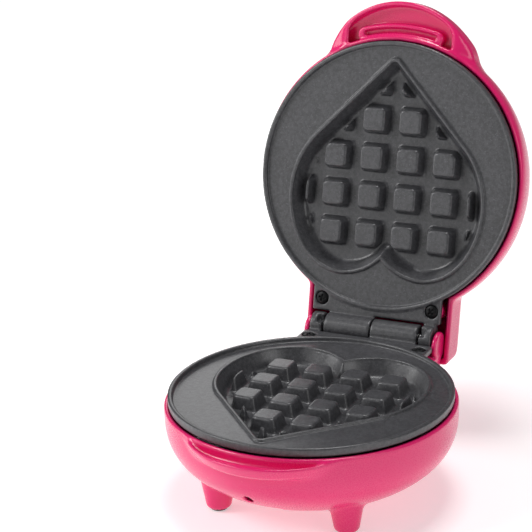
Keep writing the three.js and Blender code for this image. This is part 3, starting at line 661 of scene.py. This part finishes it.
class OBJECT_OT_waffle_base_cover(bpy.types.Operator):
    """Moulds the screwed cover under the lower body, with its louvres"""
    bl_idname = "object.waffle_base_cover"
    bl_label = "Base Cover"
    bl_options = {"REGISTER", "UNDO"}

    def execute(self, context):
        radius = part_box("base_cover")[1].x / MM
        low, high = (c.z / MM - PARTING_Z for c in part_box("base_cover"))
        rib_radius, louvre_half, louvre_pitch, head_well = 24, 6.2, 4, 3.0

        def field(x, y, z):
            shape = disc(x, y, z, radius, low, high, 0.5)
            rib = np.abs(np.hypot(x, y) - rib_radius) - 0.5
            shape = soft_min(shape, soft_max(rib, span(z, low + 0.4, high), 0.3), 0.4)
            for i in range(-3, 4):
                ends = np.hypot(np.maximum(np.abs(x) - louvre_half, 0), y - louvre_pitch * i)
                shape = cut(shape, soft_max(ends - 0.8, span(z, low - 2, high + 2), 0.3), 0.4)
            for sx, sy in COVER_SCREWS:
                shape = cut(shape, disc(x - sx, y - sy, z, head_well, low - 2, low + 1.2, 0.2),
                            0.4)
                shape = cut(shape, disc(x - sx, y - sy, z, COVER_BORE, low - 2, high + 2, 0.2),
                            0.3)
            return shape

        mould("base_cover_panel", field, (-radius, -radius, low), (radius, radius, high), 0.4,
              "base", "pink_plastic", "base_cover")
        return {"FINISHED"}


# ---- Lid ----
def crown_radius(sizes):
    """Radius of the sphere that the lid's crown is part of."""
    edge = LID_RADIUS - sizes.dome_inward / MM - 1.5
    rise = (sizes.crown - sizes.shoulder) / MM - 0.5
    return (edge ** 2 + rise ** 2) / (2 * rise)


def dome_field(x, y, z, sizes, inset=0.0):
    widest, shoulder = RIM_LEVEL + WIDEST_ABOVE, sizes.shoulder / MM
    inward, radius, power = sizes.dome_inward / MM, crown_radius(sizes), 2.2
    t = np.clip((z - widest) / (shoulder - widest), 0, 2.0)
    ease = 0.7 * np.clip((widest - z) / WIDEST_ABOVE, 0, 1) ** 2
    lean = np.sqrt(1 + (power * inward * t ** (power - 1) / (shoulder - widest)) ** 2)
    side = (np.hypot(x, y) - (LID_RADIUS - inward * t ** power - ease)) / lean
    top = np.sqrt(x * x + y * y + (z - sizes.crown / MM + radius) ** 2) - radius
    return soft_max(side, top, 3.0) + inset


def tail_field(x, y, z, sizes, inset=0.0):
    half, lean = sizes.tail_width / MM, TAIL_LEAN / (TAIL_HEIGHT - RIM_LEVEL)
    front_y, front_z, front_lean = 38.5, 36.8, 0.45
    rear = (y - TAIL_BACK + (z - RIM_LEVEL) * lean) / math.hypot(1, lean)
    ramp = z - TAIL_HEIGHT - (TAIL_BACK - TAIL_LEAN - y) * RAMP_SLOPE
    ramp = ramp / math.hypot(1, RAMP_SLOPE)
    roof = (z - TAIL_HEIGHT - (half - np.abs(x)) * HIP_SLOPE) / math.hypot(1, HIP_SLOPE)
    top = soft_max(soft_max(ramp, z - RAMP_TOP, 3.0), roof, 3.0)
    front = (front_y - y + (z - front_z) * front_lean) / math.hypot(1, front_lean)
    shape = soft_max(soft_max(rear, top, 2.0), front, 2.0)
    return soft_max(shape, np.abs(x) - half, 2.2) + inset


def lens_frame(x, y, z, sizes):
    """Coordinates along and round the axis of the indicator lens."""
    radius = crown_radius(sizes)
    level = sizes.crown / MM - radius + math.sqrt(radius ** 2 - LENS_BACK ** 2)
    cos, sin = math.cos(LENS_TILT), math.sin(LENS_TILT)
    along = (z - level) * cos + (y - LENS_BACK) * sin
    across = (y - LENS_BACK) * cos - (z - level) * sin
    return np.hypot(x, across), along


def upper_housing_field(sizes):
    wall = sizes.wall / MM
    bottom = RIM_LEVEL
    grip_radius = sizes.grip_radius / MM
    reach = sizes.grip_reach / MM
    grip_y = -(PLATE_RADIUS + reach - grip_radius)
    grip_front, grip_back = 12.0, 16.0
    slope = (grip_back - grip_front) / reach
    roof = grip_front - 2.4
    ceiling = TAIL_HEIGHT + (sizes.tail_width / MM - SCREW_X - BOSS) * HIP_SLOPE - 2.5
    skirt_share, flare, flare_top = 0.93, 2, 8.5
    rib_radius, slot_radius = PLATE_RADIUS + 4.45, PLATE_RADIUS + 4.75
    rib_angle, slot_angle = math.radians(15.2), math.radians(14.2)

    def field(x, y, z):
        ax = np.abs(x)
        shape = soft_min(dome_field(x, y, z, sizes), tail_field(x, y, z, sizes), 1.8)
        shape = soft_max(shape, bottom - z, 0.8)
        ahead = y + PLATE_RADIUS + reach
        top = grip_front + slope * ahead + 0.02 * np.clip(ahead - 9, -9, 9) ** 2 - 1.0
        grip = np.hypot(x, y - grip_y) - grip_radius
        side = ax - grip_radius * skirt_share - flare * np.clip(z - flare_top, -4, 0)
        side = side / math.hypot(1, flare)
        grip = soft_max(soft_max(grip, side, 2.0), z - top, 2.0)
        grip = soft_max(soft_max(grip, bottom - z, 0.9), y, 0.5)
        shape = soft_min(shape, grip, 2.4)
        round_lens, along = lens_frame(x, y, z, sizes)
        collar = soft_max(round_lens - COLLAR_RADIUS + 0.87 * np.clip(along, -1, 2),
                          span(along, -3, 1.6), 0.9)
        shape = soft_min(shape, collar, 0.8)

        inner = np.minimum(dome_field(x, y, z, sizes, wall), tail_field(x, y, z, sizes, wall))
        shape = cut(shape, inner, 0.8)
        shape = cut(shape, disc(x, y, z, PLATE_RADIUS + FIT, -2, bottom + 1.5, 0.3), 0.4)
        seat_radius = np.where(along > -0.2, LENS_RADIUS + FIT, LENS_RADIUS - 1 + FIT)
        shape = cut(shape, soft_max(round_lens - seat_radius, span(along, -12, 12), 0.3), 0.3)

        scoop = soft_max(np.hypot(x, y - grip_y) - grip_radius + 1.9, z - roof, 1.6)
        scoop = soft_max(scoop, side + 1.7, 2.0)
        scoop = soft_max(scoop, LID_RADIUS - np.hypot(x, y), 0.8)
        rib = soft_max(front_arc(x, y, rib_radius, rib_angle, 3.25), bottom + 0.4 - z, 1.0)
        shape = cut(shape, cut(scoop, rib, 0.9), 0.9)
        slot = soft_max(front_arc(x, y, slot_radius, slot_angle, 1.2), z - roof + 1.6, 0.6)
        shape = cut(shape, slot, 0.8)

        boss = disc(ax - SCREW_X, y - SCREW_Y, z, BOSS, bottom, ceiling, 0.5)
        shape = soft_min(shape, boss, 0.6)
        return cut(shape, disc(ax - SCREW_X, y - SCREW_Y, z, BORE, -2, bottom + 12, 0.3), 0.4)

    return field, (-LID_RADIUS, -PLATE_RADIUS - reach, bottom), (LID_RADIUS, TAIL_BACK, 48)


class OBJECT_OT_waffle_upper_housing(bpy.types.Operator):
    """Moulds the lid: crown, grip, hinge cover and the collar of the indicator lamp"""
    bl_idname = "object.waffle_upper_housing"
    bl_label = "Upper Housing"
    bl_options = {"REGISTER", "UNDO"}

    def execute(self, context):
        mould("lid_moulding", *upper_housing_field(context.scene.waffle_housing), 0.85,
              "lid", "pink_plastic", "upper_housing")
        return {"FINISHED"}


class OBJECT_OT_waffle_indicator(bpy.types.Operator):
    """Makes the domed lens over the indicator lamp"""
    bl_idname = "object.waffle_indicator"
    bl_label = "Indicator Lens"
    bl_options = {"REGISTER", "UNDO"}

    def execute(self, context):
        sizes = context.scene.waffle_housing
        dome_radius, dome_centre, ring_radius = 12.05, 9.2, 3.4

        def field(x, y, z):
            radius, along = lens_frame(x, y, z, sizes)
            along = along - 0.1
            head = soft_max(radius - LENS_RADIUS, span(along, 0, 2.4), 1.6)
            crown = np.sqrt(radius ** 2 + (along + dome_centre) ** 2) - dome_radius
            head = soft_max(head, crown, 0.6)
            ring = soft_max(np.abs(radius - ring_radius) - 0.25, span(along, 2.0, 3.0), 0.2)
            stem = soft_max(radius - LENS_RADIUS + 1, span(along, -3, 0.5), 0.4)
            return soft_min(cut(head, ring, 0.3), stem, 0.2)

        mould("lamp_lens", field, (-LENS_RADIUS, 17, 40), (LENS_RADIUS, 31, 48), 0.25,
              "lid", "amber_lens", "indicator_lens")
        return {"FINISHED"}


# ---- Cooking plates ----
def heart_distance(sizes):
    """Distance to the heart's outline, negative inside, looked up on a fine plan grid."""
    tip = PLATE_RADIUS - sizes.heart_margin / MM
    corner = 2.0 / tip
    half_angle = math.atan2(0.662, 0.6985)

    def arc(x, y, rx, ry, start, end, steps=24):
        angles = np.radians(np.linspace(start, end, steps, endpoint=False))
        return [(x + rx * np.cos(a), y + ry * np.sin(a)) for a in angles]

    turn = 90 - math.degrees(half_angle)
    half = arc(0, -1 + corner / math.sin(half_angle), corner, corner, -90, -90 + turn, 6)
    half += arc(0.122, 0.209, 0.743, 0.743, -43.4, 0)
    half += arc(0.371, 0.209, 0.494, 0.635, 0, 90)
    half += arc(0.371, 0.369, 0.475, 0.475, 90, 141.3) + [(0, CLEFT)]
    outline = half + [(-px, py) for px, py in reversed(half[1:-1])]
    points = np.array(outline) * tip
    spacing = 0.25
    axis = np.arange(-PLATE_RADIUS - 4, PLATE_RADIUS + 16, spacing)
    gx, gy = np.meshgrid(axis, axis, indexing="ij")
    nearest = np.full(gx.shape, 1e9)
    inside = np.zeros(gx.shape, bool)
    for (x0, y0), (x1, y1) in zip(points, np.roll(points, -1, 0)):
        along_x, along_y = x1 - x0, y1 - y0
        t = ((gx - x0) * along_x + (gy - y0) * along_y) / (along_x ** 2 + along_y ** 2)
        t = np.clip(t, 0, 1)
        nearest = np.minimum(nearest, np.hypot(gx - x0 - t * along_x, gy - y0 - t * along_y))
        if y0 != y1:
            crosses = (y0 > gy) != (y1 > gy)
            inside ^= crosses & (gx < x0 + (gy - y0) * along_x / along_y)
    signed = np.where(inside, -nearest, nearest)

    def distance(x, y):
        u = np.clip((x - axis[0]) / spacing, 0, len(axis) - 2.001)
        v = np.clip((y - axis[0]) / spacing, 0, len(axis) - 2.001)
        i, j = u.astype(int), v.astype(int)
        fu, fv = u - i, v - j
        return ((1 - fu) * (1 - fv) * signed[i, j] + fu * (1 - fv) * signed[i + 1, j]
                + (1 - fu) * fv * signed[i, j + 1] + fu * fv * signed[i + 1, j + 1])

    return distance


def plate_field(sizes):
    """One casting, face up, its rim at Z = 0; turned over about Y it serves as the upper plate."""
    heart = heart_distance(sizes)
    face, floor, pan_wall = -2.0, -sizes.heart_depth / MM, 2.0
    draft, grid = sizes.draft / MM, sizes.grid / MM
    block_top = floor + sizes.block_height / MM
    half_top, half_base = sizes.block_top / MM / 2, sizes.block_base / MM / 2
    bead, bead_height = sizes.bead_width / MM, 1.0
    rim, barrel = sizes.rim_width / MM, sizes.barrel_radius / MM
    axis_z = PLATE_GAP / 2
    tab_end = HINGE_Y - barrel - SWING
    short, gap, end_gap = 5.5, 0.4, 1.3
    spans = ((-BARREL_REACH, short - BARREL_REACH), (gap, BARREL_REACH - short - end_gap))
    last_row = CLEFT * (PLATE_RADIUS - sizes.heart_margin / MM)
    pin_bore, head_well, well_floor = 1.8, 3.2, -2.35
    tab_front, trim_gap, trim_draft = 59.5, 5.7, 1.2

    def field(x, y, z):
        ax, radius, outline = np.abs(x), np.hypot(x, y), heart(x, y)
        shape = soft_max(radius - PLATE_RADIUS, span(z, -PLATE_THICKNESS, 0), 0.5)
        recess = soft_max(radius - PLATE_RADIUS + rim, face - z, 0.5)
        tab = box(ax, y, z, (-TAB_HALF, 30, -PLATE_THICKNESS), (TAB_HALF, tab_end, -0.45), 0.8)
        pan = soft_max(outline - pan_wall / 2, span(z, floor - pan_wall, face - 0.5), 2.5)
        shape = cut(soft_min(shape, soft_max(tab, tab_front - radius, 0.5), 0.5), recess, 0.5)
        shape = soft_min(shape, pan, 1.0)
        ridge = soft_max(np.abs(outline - bead / 2) - bead / 2,
                         span(z, face - 1, face + bead_height), 0.3)
        shape = soft_min(shape, ridge, 0.3)
        wall = outline + draft * np.clip((face - z) / (face - floor), 0, 1)
        cavity = soft_max(wall, floor - z, 1.8)
        shape = cut(shape, cavity, 0.5)
        if z.shape == x.shape:
            across, back = x, y
        else:
            across, back = np.broadcast_to(x, (x.shape[0], y.shape[1], 1)), y
        cell_x = (across / grid - np.floor(across / grid) - 0.5) * grid
        cell_y = ((back - 1) / grid - np.floor((back - 1) / grid) - 0.5) * grid
        half = half_top + (half_base - half_top) * np.clip((block_top - z) /
                                                          (block_top - floor), 0, 1.1)
        sides = soft_max(np.abs(cell_x), np.abs(cell_y), 2.2) - half
        block = soft_max(sides, z - block_top, 0.6)
        trim = outline + trim_gap - trim_draft * np.clip((block_top - z) / 8.2, 0, 1)
        block = soft_max(soft_max(block, trim, 0.8), floor - 1.5 - z, 0.3)
        block = np.where(back - cell_y > last_row, grid, block)
        shape = soft_min(shape, block, 0.8)

        for low, high in spans:
            web = box(x, y, z, (low, tab_end - 2.5, -PLATE_THICKNESS),
                      (high, HINGE_Y, -0.45), 0.5)
            knuckle = soft_max(np.hypot(y - HINGE_Y, z - axis_z) - barrel, span(x, low, high),
                               0.5)
            shape = soft_min(shape, soft_min(web, knuckle, 0.8), 0.5)
        nick = box(x, y, z, (spans[0][1] - 2.4, HINGE_Y - 5.4, axis_z + barrel - 3.3),
                   (spans[0][1] + 2, HINGE_Y - 1.0, axis_z + barrel + 2), 0.3)
        shape = cut(shape, nick, 0.3)
        shape = cut(shape, np.hypot(y - HINGE_Y, z - axis_z) - pin_bore, 0.4)
        well = disc(ax - SCREW_X, y - SCREW_Y, z, head_well, well_floor, 2, 0.3)
        shape = cut(shape, well, 0.4)
        return cut(shape, disc(ax - SCREW_X, y - SCREW_Y, z, BORE, -6, 2, 0.2), 0.3)

    low = (-PLATE_RADIUS, -PLATE_RADIUS, floor - pan_wall)
    return field, low, (PLATE_RADIUS, HINGE_Y + barrel, axis_z + barrel)


class OBJECT_OT_waffle_plates(bpy.types.Operator):
    """Casts the two cooking plates from one pattern: rim, heart, waffle blocks and barrels"""
    bl_idname = "object.waffle_plates"
    bl_label = "Cooking Plates"
    bl_options = {"REGISTER", "UNDO"}

    def execute(self, context):
        field, low, high = plate_field(context.scene.waffle_plate)
        verts, faces = surface(field, low, high, 0.65)
        lower = seat(verts + (0, 0, -PLATE_GAP / 2))
        upper = seat_open(verts * (-1, 1, -1) + (0, 0, PLATE_GAP / 2))
        for side, body, points in (("lower", "base", lower), ("upper", "lid", upper)):
            piece = add_mesh(f"{side}_cooking_plate", points, faces,
                             material("nonstick_casting"))
            declare(piece, body, "nonstick_casting", f"{side}_plate")
        return {"FINISHED"}


class OBJECT_OT_waffle_hinge(bpy.types.Operator):
    """Turns the steel pin that the two plates swing on"""
    bl_idname = "object.waffle_hinge"
    bl_label = "Hinge Pin"
    bl_options = {"REGISTER", "UNDO"}

    def execute(self, context):
        low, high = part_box("hinge_pin")
        reach, radius = high.x / MM, (high.z - low.z) / 2 / MM

        def field(x, y, z):
            body = soft_max(np.hypot(y - HINGE_Y, z) - radius, np.abs(x) - reach, 0.7)
            groove = soft_max(np.abs(np.abs(x) - reach + 1.6) - 0.25,
                              radius - 0.3 - np.hypot(y - HINGE_Y, z), 0.1)
            return cut(body, groove, 0.15)

        mould("hinge_rod", field, (-reach, HINGE_Y - 2, -2), (reach, HINGE_Y + 2, 2), 0.25,
              "base", "bright_steel", "hinge_pin")
        return {"FINISHED"}


class OBJECT_OT_waffle_gland(bpy.types.Operator):
    """Moulds the rubber bush of the cord inlet"""
    bl_idname = "object.waffle_gland"
    bl_label = "Cord Gland"
    bl_options = {"REGISTER", "UNDO"}

    def execute(self, context):
        front, back = gland_low.y / MM - CENTRE_Y, gland_high.y / MM - CENTRE_Y
        outer, bore = GLAND_RADIUS, 3.4

        def field(x, y, z):
            radius = np.hypot(x, z - GLAND_Z)
            flange = soft_max(radius - outer, span(y, back - 2.1, back), 0.9)
            stem = soft_max(radius - outer + GLAND_FLANGE, span(y, front, back - 1), 0.5)
            groove = np.hypot(radius - outer + 2.2, y - back - 0.1) - 0.5
            shape = cut(soft_min(flange, stem, 0.3), groove, 0.3)
            return cut(shape, radius - bore, 0.7)

        mould("inlet_bush", field, (-outer, front, GLAND_Z - outer),
              (outer, back, GLAND_Z + outer), 0.3, "base", "black_rubber", "cord_gland")
        return {"FINISHED"}


# ---- Screws and pads, set out by Geometry Nodes ----
def unit_screw(length):
    """A pan-head cross screw of unit head radius, its top at Z = 0, threaded below the head."""
    def field(x, y, z):
        radius = np.hypot(x, y)
        head = soft_max(radius - 1, span(z, -0.5, 0), 0.28)
        head = soft_max(head, np.sqrt(radius ** 2 + (z + 2.2) ** 2) - 2.2, 0.1)
        along = np.minimum(np.abs(x), np.abs(y))
        across = np.maximum(np.abs(x), np.abs(y))
        cross = soft_max(along - 0.13 - 0.1 * (z + 0.3), across - 0.62 - 0.5 * z, 0.06)
        cross = soft_max(cross, -0.42 - z, 0.06)
        turn = np.arctan2(y, x) / (2 * math.pi)
        pitch = 0.42
        phase = z / pitch - turn
        thread = np.abs(phase - np.floor(phase) - 0.5) * 2
        taper = np.clip((z + length) / 0.6, 0, 1)
        shank = soft_max(radius - (0.38 + 0.13 * thread) * taper ** 0.5,
                         span(z, -length, -0.3), 0.08)
        return soft_min(cut(head, cross, 0.05), shank, 0.08)

    return surface(field, (-1, -1, -length), (1, 1, 0), 0.055)


def unit_pad():
    """A rubber pad of unit radius on its underside, with a ring tread."""
    def field(x, y, z):
        radius = np.hypot(x, y)
        shape = soft_max(radius - 1, span(z, 0, 0.316), 0.12)
        for ring in (0.35, 0.68):
            groove = np.hypot(radius - ring, z) - 0.055
            shape = cut(shape, groove, 0.04)
        return shape

    return surface(field, (-1, -1, 0), (1, 1, 0.316), 0.05)


def set_out_tree():
    """Geometry Nodes: a copy of an item on every point, facing along the point's own normal."""
    tree = bpy.data.node_groups.new("Set Out Fixings", "GeometryNodeTree")
    add = tree.interface.new_socket
    add("Points", in_out="INPUT", socket_type="NodeSocketGeometry")
    for name, kind in (("Item", "NodeSocketObject"), ("Size", "NodeSocketFloat"),
                       ("Turn Seed", "NodeSocketInt"), ("Finish", "NodeSocketMaterial")):
        add(name, in_out="INPUT", socket_type=kind)
    add("Fixings", in_out="OUTPUT", socket_type="NodeSocketGeometry")

    def node(*details):
        return add_node(tree, *details)

    source = node("NodeGroupInput").outputs
    item = node("GeometryNodeObjectInfo", {}, {"Object": source["Item"], "As Instance": True})
    facing = node("GeometryNodeInputNamedAttribute", {"data_type": "FLOAT_VECTOR"},
                  {"Name": "facing"})
    stand = node("FunctionNodeAlignRotationToVector", {"axis": "Z"},
                 {"Vector": facing.outputs["Attribute"]})
    chance = node("FunctionNodeRandomValue", {"data_type": "FLOAT"},
                  {2: 0.0, 3: 2 * math.pi, "Seed": source["Turn Seed"]})
    spin = node("FunctionNodeAxisAngleToRotation", {},
                {"Axis": (0, 0, 1), "Angle": chance.outputs[1]})
    turned = node("FunctionNodeRotateRotation", {"rotation_space": "LOCAL"},
                  {"Rotation": stand.outputs[0], "Rotate By": spin.outputs[0]})
    copies = node("GeometryNodeInstanceOnPoints", {},
                  {"Points": source["Points"], "Instance": item.outputs["Geometry"],
                   "Rotation": turned.outputs[0], "Scale": source["Size"]})
    real = node("GeometryNodeRealizeInstances", {}, {"Geometry": copies.outputs[0]})
    coated = node("GeometryNodeSetMaterial", {},
                  {"Geometry": real.outputs[0], "Material": source["Finish"]})
    node("NodeGroupOutput", {}, {"Fixings": coated.outputs[0]})
    return tree


def undersides(names):
    """Middle of the underside of each node, in metres."""
    boxes = [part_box(name) for name in names]
    return [((low.x + high.x) / 2, (low.y + high.y) / 2, low.z) for low, high in boxes]


def set_out(name, item, places, facing, size, seed, slot):
    """Sets copies of an item at places in the frame, as one plain mesh, in metres."""
    points = bpy.data.meshes.new(name + "_places")
    points.from_pydata([tuple(p) for p in places], [], [])
    direction = points.attributes.new("facing", "FLOAT_VECTOR", "POINT")
    direction.data.foreach_set("vector", list(facing) * len(places))
    holder = bpy.data.objects.new(name + "_places", points)
    source = add_mesh(name + "_item", *item, material(slot))
    bpy.context.scene.collection.objects.link(holder)
    tree = bpy.data.node_groups.get("Set Out Fixings") or set_out_tree()
    sockets = {s.name: s.identifier for s in tree.interface.items_tree if s.in_out == "INPUT"}
    modifier = holder.modifiers.new("Set Out", "NODES")
    modifier.node_group = tree
    modifier[sockets["Item"]] = source
    modifier[sockets["Size"]] = size
    modifier[sockets["Turn Seed"]] = seed
    modifier[sockets["Finish"]] = material(slot)
    holder.update_tag()
    graph = bpy.context.evaluated_depsgraph_get()
    mesh = bpy.data.meshes.new_from_object(holder.evaluated_get(graph), depsgraph=graph)
    if not mesh.polygons:
        raise RuntimeError(f"no copies were made for {name}")
    mesh.name = name
    for spare in (holder, source):
        bpy.data.objects.remove(spare)
    piece = bpy.data.objects.new(name, mesh)
    bpy.context.scene.collection.objects.link(piece)
    return piece


class OBJECT_OT_waffle_screws(bpy.types.Operator):
    """Sets the screws of the plates and of the base cover"""
    bl_idname = "object.waffle_screws"
    bl_label = "Screws"
    bl_options = {"REGISTER", "UNDO"}

    def execute(self, context):
        fixings = context.scene.waffle_fixings
        drop = PLATE_GAP / 2 + 0.1
        item = unit_screw(11 / 2.9)
        cos, sin = math.cos(OPEN_ANGLE), math.sin(OPEN_ANGLE)
        sets = (("lower_plate_screws", "base", seat, -drop, (0, 0, 1), "lower_plate_screw"),
                ("upper_plate_screws", "lid", seat_open, drop, (0, -sin, -cos),
                 "upper_plate_screw"))
        for name, body, place, level, facing, node in sets:
            places = place([(-SCREW_X, SCREW_Y, level), (SCREW_X, SCREW_Y, level)])
            piece = set_out(name, item, places, facing, fixings.head_radius,
                            fixings.turn_seed, "black_screw")
            declare(piece, body, "black_screw", f"{node}_left", f"{node}_right")
        piece = set_out("base_screws", unit_screw(8 / 2.7), undersides(COVER_SCREW_NODES),
                        (0, 0, -1), fixings.cover_head_radius, fixings.turn_seed, "black_screw")
        declare(piece, "base", "black_screw", *COVER_SCREW_NODES)
        return {"FINISHED"}


class OBJECT_OT_waffle_pads(bpy.types.Operator):
    """Sets the rubber pads into the feet"""
    bl_idname = "object.waffle_pads"
    bl_label = "Foot Pads"
    bl_options = {"REGISTER", "UNDO"}

    def execute(self, context):
        fixings = context.scene.waffle_fixings
        names = [n for n in sorted(NODES) if n.startswith("foot_pad_")]
        piece = set_out("foot_pads", unit_pad(), undersides(names), (0, 0, 1),
                        fixings.pad_radius, fixings.turn_seed, "black_rubber")
        declare(piece, "base", "black_rubber", *names)
        return {"FINISHED"}


class OBJECT_OT_waffle_inner_pieces(bpy.types.Operator):
    """Gives the heaters, reflectors and other inner pieces their finishes"""
    bl_idname = "object.waffle_inner_pieces"
    bl_label = "Inner Pieces"
    bl_options = {"REGISTER", "UNDO"}

    def execute(self, context):
        slots = {s["node"]: s["material_slot"] for s in frame["record"]["subparts"]}
        for name, node in NODES.items():
            if node.hide_render:
                continue
            for slot in node.material_slots:
                slot.material = material(slots[name])
        return {"FINISHED"}


# ---- Studio ----
class OBJECT_OT_waffle_studio(bpy.types.Operator):
    """Sets up the pale floor, the soft lights, the white surroundings and the camera"""
    bl_idname = "object.waffle_studio"
    bl_label = "Studio"
    bl_options = {"REGISTER", "UNDO"}

    def execute(self, context):
        scene, studio = context.scene, context.scene.waffle_studio
        half = studio.floor / 2
        below = -0.0002
        corners = [(-half, -half, below), (half, -half, below), (half, half, below),
                   (-half, half, below)]
        floor = add_mesh("studio_floor", corners, [(0, 1, 2, 3)], material("studio_floor"))
        world = bpy.data.worlds.new("studio")
        world.use_nodes = True
        background = world.node_tree.nodes["Background"]
        background.inputs["Color"].default_value = (1, 1, 1, 1)
        background.inputs["Strength"].default_value = studio.world
        scene.world = world
        aim = Vector((0, 0, 0.07))
        softboxes = (("key", (-1.0, -0.7, 1.0), 0.6, 1.1), ("fill", (1.2, -0.5, 0.6), 0.7, 0.4),
                     ("back", (-0.6, 1.2, 0.6), 0.7, 0.25), ("top", (0.0, 0.2, 1.5), 0.5, 1.1),
                     ("side", (-1.3, -0.2, 0.3), 0.6, 0.4),
                     ("front", (-0.55, -1.15, 0.3), 0.7, 0.17))
        for name, place, size, share in softboxes:
            light = bpy.data.lights.new(name, "AREA")
            light.shape, light.size = "SQUARE", size
            light.energy = studio.key_power * share
            lamp = bpy.data.objects.new(name, light)
            lamp.location = place
            lamp.rotation_mode = "QUATERNION"
            lamp.rotation_quaternion = (aim - Vector(place)).to_track_quat("-Z", "Y")
            scene.collection.objects.link(lamp)
        self.set_camera(scene, studio)
        scene.view_settings.view_transform = "Standard"
        return {"FINISHED"}

    def set_camera(self, scene, studio):
        data = bpy.data.cameras.new("camera")
        data.lens, data.sensor_width = studio.lens, 36.0
        camera = bpy.data.objects.new("camera", data)
        scene.collection.objects.link(camera)
        scene.camera = camera
        target = Vector((-0.0193, -0.0321, 0.0991))
        flat = math.cos(studio.elevation)
        back = Vector((math.sin(studio.azimuth) * flat, -math.cos(studio.azimuth) * flat,
                       math.sin(studio.elevation)))
        right = Vector((0, 0, 1)).cross(back).normalized()
        up = back.cross(right)
        cos, sin = math.cos(studio.roll), math.sin(studio.roll)
        axes = (right * cos - up * sin, right * sin + up * cos, back)
        turn = Matrix(axes).transposed().to_4x4()
        camera.matrix_world = Matrix.Translation(target + back * studio.distance) @ turn
        data.clip_start, data.clip_end = 0.01, 20.0


BUILD_ORDER = (
    OBJECT_OT_waffle_studio,
    OBJECT_OT_waffle_lower_housing,
    OBJECT_OT_waffle_base_cover,
    OBJECT_OT_waffle_upper_housing,
    OBJECT_OT_waffle_plates,
    OBJECT_OT_waffle_hinge,
    OBJECT_OT_waffle_gland,
    OBJECT_OT_waffle_indicator,
    OBJECT_OT_waffle_screws,
    OBJECT_OT_waffle_pads,
    OBJECT_OT_waffle_inner_pieces,
)
SETTINGS = {
    "waffle_housing": WaffleHousing,
    "waffle_plate": WafflePlate,
    "waffle_fixings": WaffleFixings,
    "waffle_colours": WaffleColours,
    "waffle_studio": WaffleStudio,
}


class VIEW3D_PT_waffle_maker(bpy.types.Panel):
    """Sizes, colours and the steps that build the appliance"""
    bl_label = "Waffle Maker"
    bl_idname = "VIEW3D_PT_waffle_maker"
    bl_space_type = "VIEW_3D"
    bl_region_type = "UI"
    bl_category = "Waffle Maker"

    def draw(self, context):
        for name, group in SETTINGS.items():
            column = self.layout.box().column()
            column.label(text=name.replace("_", " ").title())
            for key in group.__annotations__:
                column.prop(getattr(context.scene, name), key)
        for operator in BUILD_ORDER:
            self.layout.operator(operator.bl_idname)


def register():
    for group in (*SETTINGS.values(), *BUILD_ORDER, VIEW3D_PT_waffle_maker):
        bpy.utils.register_class(group)
    for name, group in SETTINGS.items():
        setattr(bpy.types.Scene, name, PointerProperty(type=group))


def unregister():
    for name in SETTINGS:
        delattr(bpy.types.Scene, name)
    for group in reversed((*SETTINGS.values(), *BUILD_ORDER, VIEW3D_PT_waffle_maker)):
        bpy.utils.unregister_class(group)


def main():
    register()
    for operator in BUILD_ORDER:
        group, name = operator.bl_idname.split(".")
        getattr(getattr(bpy.ops, group), name)()


if __name__ == "__main__":
    main()
